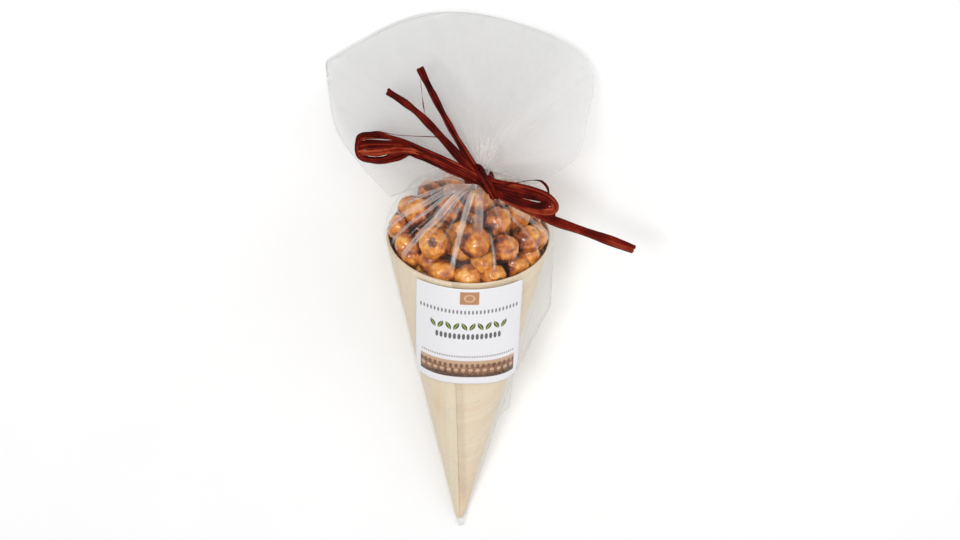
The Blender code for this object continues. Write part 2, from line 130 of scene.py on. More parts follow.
def round_places(turns: Points, reach: float, rise: Number = 0.0) -> Points:
    """Places to read noise at, so that it joins up after a full turn."""
    return together(np.cos(turns) * reach, np.sin(turns) * reach, rise)


def smooth_path(corners: Sequence[Sequence[float]], steps: int) -> Points:
    """Points along a smooth open curve through the given corners.

    Args:
        corners: The points to pass through, of any dimension.
        steps: How many steps the whole curve is cut into.

    Returns:
        An array of steps + 1 points.
    """
    knots = np.asarray(corners, float)
    ends = np.vstack([knots[0] * 2 - knots[1], knots, knots[-1] * 2 - knots[-2]])
    run = np.linspace(0, len(knots) - 1, steps + 1)
    span = np.minimum(run.astype(int), len(knots) - 2)
    t = (run - span)[:, None]
    a, b, c, d = (ends[span + k] for k in range(4))
    return 0.5 * (2 * b + (c - a) * t + (2 * a - 5 * b + 4 * c - d) * t ** 2
                  + (3 * b - a - 3 * c + d) * t ** 3)


def soft_noise(places: Points, octaves: int = 3, seed: float = 0.0) -> Points:
    """Fractal noise between about -1 and 1 at each place.

    Args:
        places: An array whose last axis has three coordinates.
        octaves: How many ever finer layers are added up.
        seed: A shift that gives another pattern.

    Returns:
        One number for each place.
    """
    flat = places.reshape(-1, 3) + seed * 17.31
    values = [noise.fractal(Vector(spot), 1.0, 2.1, octaves) for spot in flat.tolist()]
    return np.array(values).reshape(places.shape[:-1])


def crests(places: Points, octaves: int, seed: float, narrow: float, sharp: float = 2.0) -> Points:
    """Thin uneven crests, 1 along their tops and 0 between them.

    Args:
        places: An array whose last axis has three coordinates.
        octaves: How many ever finer layers their course has.
        seed: Another number gives other crests.
        narrow: How narrow they are.
        sharp: How steeply they rise to their tops.

    Returns:
        One number for each place.
    """
    return np.clip(1 - np.abs(soft_noise(places, octaves, seed)) * narrow, 0, 1) ** sharp


def ring_axes(pitch: Number) -> tuple[Points, Points]:
    """The way along a ring's axis and the way up across it.

    Args:
        pitch: How steeply the axis rises, as one number or one for each ring.

    Returns:
        The two directions, with one more axis than pitch.
    """
    return together(0.0, np.cos(pitch), np.sin(pitch)), together(0.0, -np.sin(pitch), np.cos(pitch))


def round_ring(turns: Points, up: Points) -> Points:
    """Directions from a ring's middle at each turn, where up is its own upward direction."""
    return np.cos(turns)[:, None] * SIDE + np.sin(turns)[:, None] * up


# ---------------- where the part lies


@dataclass(frozen=True)
class Lie:
    """The cone's and the fan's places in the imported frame, in metres."""

    length: float = 0.180
    radius: float = 0.040
    rest_height: float = 0.00140952
    nearest_corner: float = math.radians(2)
    neck_across: float = 0.0038
    neck_along: float = 0.2155
    neck_pitch: float = math.radians(-6)
    fan_tilt: float = math.radians(24.2)

    @property
    def lean(self) -> float:
        """Half the cone's opening angle."""
        return math.atan2(self.radius, self.length)

    @property
    def apex(self) -> Points:
        """The point where the cone's sides would meet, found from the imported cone's box.

        Returns:
            The world place.
        """
        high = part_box("cone")[1]
        reach = self.radius * math.cos(self.nearest_corner)
        along = self.length * math.cos(self.lean) + reach * math.sin(self.lean)
        return np.array((high.x - reach, high.y - along, self.rest_height))

    @property
    def neck(self) -> Points:
        """The middle of the tied neck."""
        return self.on_cone(self.neck_across, 0.0, self.neck_along)

    def on_cone(self, across: Number, up: Number, along: Number) -> Points:
        """Places on the lying cone.

        Args:
            across: Distance to the right.
            up: Distance towards the label.
            along: Distance from the apex towards the mouth.

        Returns:
            World places, one for each set of distances.
        """
        cos, sin = math.cos(self.lean), math.sin(self.lean)
        return self.apex + together(across, along * cos - up * sin, along * sin + up * cos)

    def round_cone(self, along: Number, radius: Number, turn: Number) -> Points:
        """Places at a distance from the cone's axis and at a turn round it."""
        return self.on_cone(radius * np.cos(turn), radius * np.sin(turn), along)

    def bare_radius(self, along: Number) -> Number:
        """The cone's outer radius at this distance from its apex."""
        return along * self.radius / self.length

    def from_neck(self, across: Number, outwards: Number, lift: Number) -> Points:
        """Places given from the neck in the fan's tilted plane.

        Args:
            across: Distance to the right.
            outwards: Distance away from the nuts.
            lift: Height over the plane.

        Returns:
            World places, one for each set of distances.
        """
        cos, sin = math.cos(self.fan_tilt), math.sin(self.fan_tilt)
        return self.neck + together(across, outwards * cos + lift * sin, lift * cos - outwards * sin)


LIE = Lie()


# ---------------- meshes


def skin_mesh(name: str, points: Points, uv: Points, wrap: bool = False,
              caps: tuple[bool, bool] = (False, False), flipped: bool = False) -> bpy.types.Mesh:
    """A mesh over a grid of points.

    Args:
        name: The mesh's name.
        points: Rows and columns of places.
        uv: Rows and columns of map places, with one more column than points if it wraps.
        wrap: Whether the last column joins the first.
        caps: Whether the first and the last row are closed to their middles.
        flipped: Whether the faces look along rows x columns, not columns x rows.

    Returns:
        The mesh, shaded smooth, with its map in a layer named "skin".
    """
    rows, columns = points.shape[:2]
    spans = columns if wrap else columns - 1
    row, column = np.meshgrid(np.arange(rows - 1), np.arange(spans), indexing="ij")
    row, column = row.ravel(), column.ravel()
    ahead = (column + 1) % columns
    quads = np.stack([row * columns + column, row * columns + ahead,
                      (row + 1) * columns + ahead, (row + 1) * columns + column], 1)
    corners = np.stack([uv[row, column], uv[row, column + 1],
                        uv[row + 1, column + 1], uv[row + 1, column]], 1)
    if flipped:
        quads, corners = quads[:, ::-1], corners[:, ::-1]
    places = points.reshape(-1, 3).tolist()
    faces, maps = quads.tolist(), corners.reshape(-1, 2).tolist()
    for closed, ring, turned in ((caps[0], 0, not flipped), (caps[1], rows - 1, flipped)):
        if not closed:
            continue
        places.append(points[ring].mean(0).tolist())
        for j in range(columns):
            k = (j + 1) % columns
            a, b = ring * columns + j, ring * columns + k
            faces.append([b, a, len(places) - 1] if turned else [a, b, len(places) - 1])
            maps += [uv[ring, j].tolist()] * 3
    mesh = bpy.data.meshes.new(name)
    mesh.from_pydata(places, [], faces)
    layer = mesh.uv_layers.new(name="skin")
    layer.data.foreach_set("uv", np.array(maps, np.float32).ravel())
    mesh.shade_smooth()
    return mesh


def point_values(mesh: bpy.types.Mesh, **values: Points) -> None:
    """Stores numbers or vectors for the points of a mesh.

    Args:
        mesh: The mesh.
        values: By name, one for each point. The last one also stands for any points after it.
    """
    for name, each in values.items():
        kind, key = ("FLOAT", "value") if each.ndim == 1 else ("FLOAT_VECTOR", "vector")
        missing = len(mesh.vertices) - len(each)
        padded = np.concatenate([each, np.repeat(each[-1:], missing, 0)])
        mesh.attributes.new(name, kind, "POINT").data.foreach_set(key, padded.astype(np.float32).ravel())


def add_piece(name: str, mesh: bpy.types.Mesh, finish: Material | None = None) -> Piece:
    """Links a mesh as an object at the origin.

    Args:
        name: The object's name.
        mesh: Its mesh.
        finish: Its material, if it has none yet.

    Returns:
        The object.
    """
    if finish is not None:
        mesh.materials.clear()
        mesh.materials.append(finish)
    piece = bpy.data.objects.new(name, mesh)
    bpy.context.scene.collection.objects.link(piece)
    return piece


def as_plain_mesh(piece: Piece, name: str) -> Piece:
    """Turns an object with its modifiers into a plain mesh piece.

    Args:
        piece: The object, which is removed with its modifiers.
        name: The new piece's name.

    Returns:
        The plain piece.
    """
    evaluated = piece.evaluated_get(bpy.context.evaluated_depsgraph_get())
    mesh = bpy.data.meshes.new_from_object(evaluated)
    mesh.name = name
    bpy.data.objects.remove(piece)
    return add_piece(name, mesh)


def set_down(piece: Piece, slot: Slot, *nodes: str) -> Piece:
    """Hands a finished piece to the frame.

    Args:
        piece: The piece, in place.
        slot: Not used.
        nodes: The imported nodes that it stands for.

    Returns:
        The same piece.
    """
    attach(piece, BODY)
    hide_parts(*nodes)
    return piece


# ---------------- node trees


@dataclass
class Tree:
    """Short ways to add linked nodes to a shader or geometry tree."""

    tree: NodeTree

    def add(self, kind: str, inputs: dict[str | int, Feed] | None = None, **settings: Any) -> bpy.types.Node:
        """Adds a node.

        Args:
            kind: Blender's name for the node's type.
            inputs: A constant or a socket for each input, by its name or number.
            settings: The node's own properties.

        Returns:
            The new node.
        """
        node = self.tree.nodes.new(kind)
        for key, value in settings.items():
            setattr(node, key, value)
        for key, value in (inputs or {}).items():
            self.feed(node.inputs[key], value)
        return node

    def first(self, kind: str, inputs: dict[str | int, Feed] | None = None, **settings: Any) -> Socket:
        """The first output of a new node, which is added as by add."""
        return self.add(kind, inputs, **settings).outputs[0]

    def feed(self, socket: Socket, value: Feed) -> None:
        """Gives an input its value.

        Args:
            socket: The input.
            value: A socket to link or a constant.
        """
        if isinstance(value, Socket):
            self.tree.links.new(value, socket)
        else:
            socket.default_value = value

    def math(self, operation: str, first: Feed, second: Feed = 0.0, third: Feed = 0.0,
             clamp: bool = False) -> Socket:
        """The result of one sum.

        Args:
            operation: The Math node's operation.
            first: The first number or socket.
            second: The second number or socket.
            third: The third number or socket.
            clamp: Whether the result stays between 0 and 1.

        Returns:
            The node's output.
        """
        inputs = {0: first, 1: second, 2: third}
        return self.first("ShaderNodeMath", inputs, operation=operation, use_clamp=clamp)

    def times(self, first: Feed, second: Feed, clamp: bool = False) -> Socket:
        """The product of two numbers."""
        return self.math("MULTIPLY", first, second, clamp=clamp)

    def minus(self, first: Feed, second: Feed, clamp: bool = False) -> Socket:
        """The first number less the second."""
        return self.math("SUBTRACT", first, second, clamp=clamp)

    def times_plus(self, first: Feed, second: Feed, third: Feed, clamp: bool = False) -> Socket:
        """The product of the first two numbers, added to the third."""
        return self.math("MULTIPLY_ADD", first, second, third, clamp)

    def vector_math(self, operation: str, first: Feed, second: Feed = (0.0, 0.0, 0.0)) -> Socket:
        """The vector result of a Vector Math node."""
        return self.first("ShaderNodeVectorMath", {0: first, 1: second}, operation=operation)

    def dot(self, first: Socket, second: Socket) -> Socket:
        """How far two directions agree."""
        node = self.add("ShaderNodeVectorMath", {0: first, 1: second}, operation="DOT_PRODUCT")
        return node.outputs["Value"]

    def sized(self, vector: Socket, size: Socket) -> Socket:
        """A vector times a number."""
        return self.first("ShaderNodeVectorMath", {0: vector, "Scale": size}, operation="SCALE")

    def vector(self, x: Feed = 0.0, y: Feed = 0.0, z: Feed = 0.0) -> Socket:
        """A vector made of three numbers."""
        return self.first("ShaderNodeCombineXYZ", {0: x, 1: y, 2: z})

    def scaled(self, vector: Socket, scale: Place) -> Socket:
        """A map stretched by a scale."""
        return self.first("ShaderNodeMapping", {"Vector": vector, "Scale": scale})

    def noise(self, vector: Socket, scale: Feed, detail: float = 3.0, roughness: float = 0.55,
              distortion: float = 0.0) -> Socket:
        """A Noise Texture's value, mostly between 0.3 and 0.7.

        Args:
            vector: Where to read it.
            scale: How many features there are to a metre or map unit.
            detail: Layers of finer noise.
            roughness: How strong the finer layers are.
            distortion: How much it is warped.

        Returns:
            The value's socket.
        """
        inputs = {"Vector": vector, "Scale": scale, "Detail": detail, "Roughness": roughness,
                  "Distortion": distortion}
        return self.first("ShaderNodeTexNoise", inputs)

    def own_noise(self, vector: Socket, own: Socket, scale: float, detail: float,
                  roughness: float = 0.5) -> bpy.types.Node:
        """A Noise Texture with another pattern for each value of own."""
        inputs = {"Vector": vector, "W": own, "Scale": scale, "Detail": detail, "Roughness": roughness}
        return self.add("ShaderNodeTexNoise", inputs, noise_dimensions="4D")

    def remap(self, value: Feed, low: Feed, high: Feed, to_low: float = 0.0, to_high: float = 1.0) -> Socket:
        """A value taken from one range to another, clamped and smooth at both ends."""
        inputs = {"Value": value, "From Min": low, "From Max": high, "To Min": to_low, "To Max": to_high}
        return self.first("ShaderNodeMapRange", inputs, interpolation_type="SMOOTHSTEP")

    def ramp(self, value: Socket, stops: Sequence[tuple[float, Colour]]) -> Socket:
        """Colours along a ramp.

        Args:
            value: Where on the ramp, from 0 to 1.
            stops: Places on the ramp, each with its colour.

        Returns:
            The colour's socket.
        """
        node = self.add("ShaderNodeValToRGB", {0: value})
        elements = node.color_ramp.elements
        while len(elements) < len(stops):
            elements.new(0.5)
        for element, (place, colour) in zip(elements, stops):
            element.position = place
            element.color = (*colour, 1.0)
        return node.outputs[0]

    def mix(self, share: Feed, first: Feed, second: Feed) -> Socket:
        """Two colours mixed by a share.

        Args:
            share: How much of the second one.
            first: The first colour or socket.
            second: The second colour or socket.

        Returns:
            The mixed colour's socket.
        """
        first, second = (value if isinstance(value, Socket) else (*value, 1.0)
                         for value in (first, second))
        return self.add("ShaderNodeMix", {0: share, 6: first, 7: second}, data_type="RGBA").outputs[2]

    def stained(self, colour: Feed, *layers: tuple[Socket, "Stain"]) -> Socket:
        """A colour under some stains.

        Args:
            colour: The bare colour or its socket.
            layers: A mask and a stain each, from the lowest up.

        Returns:
            The stained colour's socket.
        """
        for mask, stain in layers:
            colour = self.mix(self.times(mask, stain.share), colour, stain.colour)
        return colour

    def attribute(self, name: str) -> Socket:
        """A number that the piece's points carry."""
        return self.add("ShaderNodeAttribute", attribute_name=name).outputs["Fac"]

    def skin(self) -> Socket:
        """The piece's own map."""
        return self.first("ShaderNodeUVMap", uv_map="skin")

    def spot(self) -> Socket:
        """The place on the piece in metres."""
        return self.add("ShaderNodeTexCoord").outputs["Object"]

    def bump(self, height: Socket, distance: float, strength: float) -> Socket:
        """The normal over a relief of this depth in metres, of which strength shows."""
        return self.first("ShaderNodeBump", {"Height": height, "Distance": distance, "Strength": strength})

    def named(self, name: str, vector: bool = False) -> Socket:
        """A number or vector that a shape's points carry."""
        kind = "FLOAT_VECTOR" if vector else "FLOAT"
        return self.first("GeometryNodeInputNamedAttribute", {"Name": name}, data_type=kind)

    def store(self, shape: Socket, name: str, value: Socket, vector: bool = False) -> Socket:
        """Stores a value on a shape's points.

        Args:
            shape: The shape.
            name: The value's name.
            value: The value.
            vector: Whether it is a vector.

        Returns:
            The shape with the value.
        """
        inputs = {"Geometry": shape, "Name": name, "Value": value}
        kind = "FLOAT_VECTOR" if vector else "FLOAT"
        return self.first("GeometryNodeStoreNamedAttribute", inputs, data_type=kind)

    def finished(self, shape: Socket, finish: Socket) -> Socket:
        """A shape's last steps: smooth shading, real instances and a finish.

        Args:
            shape: The shape.
            finish: Its material.

        Returns:
            The finished shape.
        """
        for kind in ("GeometryNodeSetShadeSmooth", "GeometryNodeRealizeInstances"):
            shape = self.first(kind, {"Geometry": shape})
        return self.first("GeometryNodeSetMaterial", {"Geometry": shape, "Material": finish})


def new_group(name: str, use: Use, inputs: dict[str, tuple[Kind, float | None]],
              outputs: dict[str, Kind]) -> tuple[NodeTree, Tree, Sockets, Sockets]:
    """An empty node group with named sockets.

    Args:
        name: The group's name.
        use: What it is for.
        inputs: The kind and the default of each input.
        outputs: The kind of each output.

    Returns:
        The group, a Tree on it, its input node's outputs and its output node's inputs.
    """
    group = bpy.data.node_groups.new(name, use.value)
    for label, (given, default) in inputs.items():
        socket = group.interface.new_socket(label, in_out="INPUT", socket_type=given.value)
        if default is not None:
            socket.default_value = default
    for label, made in outputs.items():
        group.interface.new_socket(label, in_out="OUTPUT", socket_type=made.value)
    tree = Tree(group)
    return group, tree, tree.add("NodeGroupInput").outputs, tree.add("NodeGroupOutput").inputs


def run_tree(piece: Piece, group: NodeTree, values: dict[str, float | Material], name: str) -> Piece:
    """Runs a geometry tree on an object and keeps the result as a plain mesh.

    Args:
        piece: The object that carries the tree's points or curves.
        group: The geometry tree.
        values: The value of each named input.
        name: The finished piece's name.

    Returns:
        The finished piece.
    """
    modifier = piece.modifiers.new(group.name, "NODES")
    modifier.node_group = group
    for item in group.interface.items_tree:
        if item.item_type == "SOCKET" and item.in_out == "INPUT" and item.name in values:
            modifier[item.identifier] = values[item.name]
    return as_plain_mesh(piece, name)


# ---------------- effects that finishes share


def build_mottle() -> NodeTree:
    """A shader group: soft uneven patches, used wherever a finish isn't even.

    Returns:
        The group.
    """
    group, tree, given, result = new_group(
        "mottle", Use.SHADER,
        {"Vector": (Kind.VECTOR, None), "Scale": (Kind.NUMBER, 100.0), "Low": (Kind.NUMBER, 0.4),
         "High": (Kind.NUMBER, 0.6)},
        {"Mask": Kind.NUMBER})
    value = tree.noise(given["Vector"], given["Scale"], 4.0, 0.6)
    tree.feed(result["Mask"], tree.remap(value, given["Low"], given["High"]))
    return group


def build_fibres() -> NodeTree:
    """A shader group: fine fibres along X of a map, used for wood grain and raffia.

    Returns:
        The group.
    """
    group, tree, given, result = new_group(
        "fibres", Use.SHADER,
        {"Vector": (Kind.VECTOR, None), "Along": (Kind.NUMBER, 10.0), "Across": (Kind.NUMBER, 1000.0),
         "Warp": (Kind.NUMBER, 0.3)},
        {"Mask": Kind.NUMBER, "Height": Kind.NUMBER})
    scale = tree.vector(given["Along"], given["Across"], given["Across"])
    stretched = tree.vector_math("MULTIPLY", given["Vector"], scale)
    warp = tree.times(tree.noise(stretched, 0.12, 2.0), tree.times(given["Warp"], 20.0))
    warped = tree.vector_math("ADD", stretched, tree.vector(0.0, warp))
    coarse, fine = tree.noise(warped, 0.35, 3.0, 0.6), tree.noise(warped, 1.6, 4.0, 0.7)
    tree.feed(result["Mask"], tree.remap(coarse, 0.35, 0.65))
    tree.feed(result["Height"], tree.remap(fine, 0.3, 0.7))
    return group


@dataclass
class Effects:
    """The shader groups, each built once."""

    mottle: NodeTree = field(default_factory=build_mottle)
    fibres: NodeTree = field(default_factory=build_fibres)


@dataclass(frozen=True)
class Stain:
    """A colour and the most of it that shows."""

    colour: Colour
    share: float


@dataclass(frozen=True)
class Finish:
    """What every finish shares: a name, the effects and a Principled shader."""

    effects: Effects
    name: str = "finish"

    def values(self, tree: Tree) -> dict[str, Feed]:
        """The value of each of the shader's sockets that isn't left as it is."""
        raise NotImplementedError

    def build(self) -> Material:
        """Makes the material.

        Returns:
            The material, with its shader's sockets fed.
        """
        made = bpy.data.materials.new(self.name)
        made.use_nodes = True
        tree = Tree(made.node_tree)
        shader = made.node_tree.nodes["Principled BSDF"]
        for key, value in self.values(tree).items():
            tree.feed(shader.inputs[key], value)
        return made

    def mottle(self, tree: Tree, vector: Socket, scale: float, low: float, high: float) -> Socket:
        """The mottle group's mask with this finish's values."""
        inputs = {"Vector": vector, "Scale": scale, "Low": low, "High": high}
        return tree.add("ShaderNodeGroup", inputs, node_tree=self.effects.mottle).outputs["Mask"]

    def fibres(self, tree: Tree, vector: Socket, along: float, across: float,
               warp: float) -> Sequence[Socket]:
        """The fibres group's mask and height with this finish's values."""
        inputs = {"Vector": vector, "Along": along, "Across": across, "Warp": warp}
        return tree.add("ShaderNodeGroup", inputs, node_tree=self.effects.fibres).outputs[:]


# ---------------- finishes


@dataclass(frozen=True)
class VeneerFinish(Finish):
    """Pale sliced wood with long grain, a few warm streaks and small flecks, and painted shade beside the
    seam and over the inner face.
    """

    name: str = "wood_veneer"
    pale: Colour = (0.83, 0.72, 0.54)
    grain: Stain = Stain((0.70, 0.54, 0.36), 0.30)
    streak: Stain = Stain((0.80, 0.58, 0.40), 0.55)
    cloud: Stain = Stain((0.84, 0.73, 0.56), 0.25)
    fleck: Stain = Stain((0.42, 0.25, 0.12), 0.45)
    tip: Stain = Stain((0.76, 0.50, 0.33), 0.55)
    seam_shade: Stain = Stain((0.42, 0.31, 0.22), 0.42)
    warm_patch: Stain = Stain((0.78, 0.54, 0.33), 0.6)
    # The inner face's dark brown is painted shade inside the mouth
    inside: Stain = Stain((0.24, 0.115, 0.045), 0.85)
    grain_depth: float = 0.00006

    def values(self, tree: Tree) -> dict[str, Feed]:
        """The shader's values, which follow the unrolled sheet's map in metres.

        Args:
            tree: The material's tree.

        Returns:
            A constant or a socket for each named input.
        """
        sheet = tree.skin()
        grain, relief = self.fibres(tree, sheet, 14.0, 900.0, 0.3)
        streaks = self.mottle(tree, tree.scaled(sheet, (9.0, 90.0, 1.0)), 1.0, 0.45, 0.75)
        clouds = self.mottle(tree, sheet, 38.0, 0.35, 0.7)
        flecks = tree.remap(tree.noise(tree.scaled(sheet, (220.0, 2600.0, 1.0)), 1.0, 1.0), 0.66, 0.74)
        soft = tree.times_plus(clouds, 0.5, 0.5)
        under, out, warm = (tree.times(tree.attribute(name), soft) for name in ("under", "out", "warm"))
        # The seam's shade and the dark inner face are painted shade
        colour = tree.stained(
            self.pale, (grain, self.grain), (streaks, self.streak), (clouds, self.cloud),
            (flecks, self.fleck), (out, self.tip), (under, self.seam_shade), (warm, self.warm_patch),
            (tree.attribute("inside"), self.inside))
        return {"Base Color": colour, "Roughness": 0.55, "Specular IOR Level": 0.4,
                "Normal": tree.bump(relief, self.grain_depth, 0.6)}


@dataclass(frozen=True)
class NutFinish(Finish):
    """Caramelised sugar over a nut: darker in the hollows, amber on the sides, golden on the crests, partly
    as painted shade and highlight.

    The sugar is lighter by patches and by each nut's own tone. It is also lighter by the nut's relief and on
    its open side: painted shade darkens the hollows and the sides turned into the heap, where the coat's
    gloss fades too.
    """

    name: str = "caramelised_nut"
    # By relief: partly painted shade in the hollows and painted highlight on the crests
    by_relief: float = 0.75
    by_patch: float = 1.10
    by_tone: float = 0.18
    # Painted shade: the sides turned into the heap are darker
    painted_shade_by_side: float = 0.34
    depth: float = 0.865
    sugar: tuple[tuple[float, Colour], ...] = (
        (0.05, (0.022, 0.003, 0.002)), (0.20, (0.18, 0.028, 0.004)), (0.38, (0.50, 0.130, 0.012)),
        (0.60, (0.80, 0.310, 0.038)), (0.85, (0.95, 0.58, 0.16)))
    bare_nut: Stain = Stain((0.085, 0.022, 0.012), 0.85)
    grit_depth: float = 0.0002

    def values(self, tree: Tree) -> dict[str, Feed]:
        """The shader's values, which follow each nut's relief, tone, open side and bare patch.

        Args:
            tree: The material's tree.

        Returns:
            A constant or a socket for each named input.
        """
        relief, tone, bare, shown = (tree.attribute(name) for name in ("relief", "tone", "bare", "shown"))
        patches = tree.noise(tree.spot(), 190.0, 4.0, 0.58)
        grit = tree.noise(tree.spot(), 2200.0, 3.0, 0.65)
        # The relief and the open side paint shade into the hollows and onto the sides turned into the heap
        level = tree.times_plus(relief, self.by_relief, tree.times(patches, self.by_patch))
        level = tree.times_plus(tone, self.by_tone, level)
        level = tree.times_plus(tree.remap(shown, -0.35, 0.70), self.painted_shade_by_side, level)
        sugar = tree.ramp(tree.minus(level, self.depth), self.sugar)
        # The coat's gloss fades on the sides turned into the heap, as painted shade
        return {"Base Color": tree.stained(sugar, (bare, self.bare_nut)), "IOR": 1.42,
                "Roughness": tree.remap(patches, 0.35, 0.65, 0.3, 0.55), "Coat Roughness": 0.10,
                "Coat Weight": tree.remap(shown, -0.5, 0.2, 0.05, 0.8), "Subsurface Weight": 0.10,
                "Subsurface Scale": 0.0010, "Normal": tree.bump(grit, self.grit_depth, 0.6)}


@dataclass(frozen=True)
class FilmFinish(Finish):
    """Thin clear film: faint grey, whiter at its seals and at its cut edge, and whiter on its folds, which is
    partly the milkiness of folded film and partly painted highlight.
    """

    name: str = "clear_film"
    haze: float = 0.022
    fold_haze: float = 0.52
    seal_haze: float = 0.20
    grazing_haze: float = 0.22
    crease_haze: float = 0.03
    whitening: float = 1.8
    tint: Colour = (0.46, 0.47, 0.46)
    # The folds' white: milky folded film and painted highlight
    fold_milk_and_highlight: Colour = (0.95, 0.92, 0.90)
    crease_depth: float = 0.0008

    def values(self, tree: Tree) -> dict[str, Feed]:
        """The shader's values, which follow the folds and seals that the film's points carry.

        Args:
            tree: The material's tree.

        Returns:
            A constant or a socket for each named input.
        """
        fold, seal = tree.attribute("fold"), tree.attribute("seal")
        facing = tree.add("ShaderNodeLayerWeight", {"Blend": 0.35}).outputs["Facing"]
        creases = tree.noise(tree.spot(), 210.0, 5.0, 0.6, 0.8)
        cloud = tree.noise(tree.scaled(tree.skin(), (130.0, 7.0, 1.0)), 1.0, 3.0, 0.6)
        folded = tree.times(fold, tree.remap(cloud, 0.34, 0.62, 0.62, 1.0))
        alpha = tree.times_plus(folded, self.fold_haze, self.haze)
        alpha = tree.times_plus(seal, self.seal_haze, alpha)
        alpha = tree.times_plus(tree.math("POWER", facing, 4.0), self.grazing_haze, alpha)
        alpha = tree.times_plus(tree.remap(creases, 0.56, 0.72), self.crease_haze, alpha, clamp=True)
        # Whiter on the folds: folded film's milkiness and painted highlight
        white = tree.times(fold, self.whitening, clamp=True)
        return {"Base Color": tree.mix(white, self.tint, self.fold_milk_and_highlight), "Alpha": alpha, "Roughness": 0.14,
                "IOR": 1.9, "Normal": tree.bump(creases, self.crease_depth, 0.35)}


@dataclass(frozen=True)
class RaffiaFinish(Finish):
    """Dyed red-brown plant fibre, streaked along its length and a little glossy."""

    name: str = "raffia"
    half_width: float = 0.0022
    by_fibre: float = 0.45
    by_blotch: float = 0.30
    by_tone: float = 0.45
    by_edge: float = -0.14
    dye: tuple[tuple[float, Colour], ...] = (
        (0.0, (0.005, 0.0003, 0.0003)), (0.30, (0.050, 0.0014, 0.0008)), (0.62, (0.165, 0.0075, 0.0026)),
        (1.0, (0.42, 0.070, 0.024)))
    fibre_depth: float = 0.00012

    def values(self, tree: Tree) -> dict[str, Feed]:
        """The shader's values, which follow the distances along and across each strip.

        Args:
            tree: The material's tree.

        Returns:
            A constant or a socket for each named input.
        """
        along, across, strand, tone = (tree.attribute(name) for name in ("along", "across", "strand", "tone"))
        strip = tree.vector(along, tree.times(across, self.half_width), strand)
        fibre, relief = self.fibres(tree, strip, 30.0, 2600.0, 0.15)
        blotch = self.mottle(tree, strip, 90.0, 0.35, 0.65)
        edge = tree.remap(tree.math("ABSOLUTE", across), 0.55, 1.0)
        level = tree.times_plus(fibre, self.by_fibre, tree.times(blotch, self.by_blotch))
        level = tree.times_plus(tone, self.by_tone, level)
        level = tree.times_plus(edge, self.by_edge, level)
        return {"Base Color": tree.ramp(level, self.dye), "Specular IOR Level": 0.07,
                "Roughness": tree.remap(relief, 0.0, 1.0, 0.36, 0.6),
                "Normal": tree.bump(relief, self.fibre_depth, 0.8)}


@dataclass(frozen=True)
class Row:
    """A printed row of marks, in shares of the label's height and width."""

    middle: float
    half_height: float
    count: int
    fill: float
    half_width: float
    ink: Stain


@dataclass(frozen=True)
class Hill:
    """A printed ridge of hills, in shares of the label's height and width."""

    base: float
    swell: float
    waves: float
    shift: float
    ink: Colour


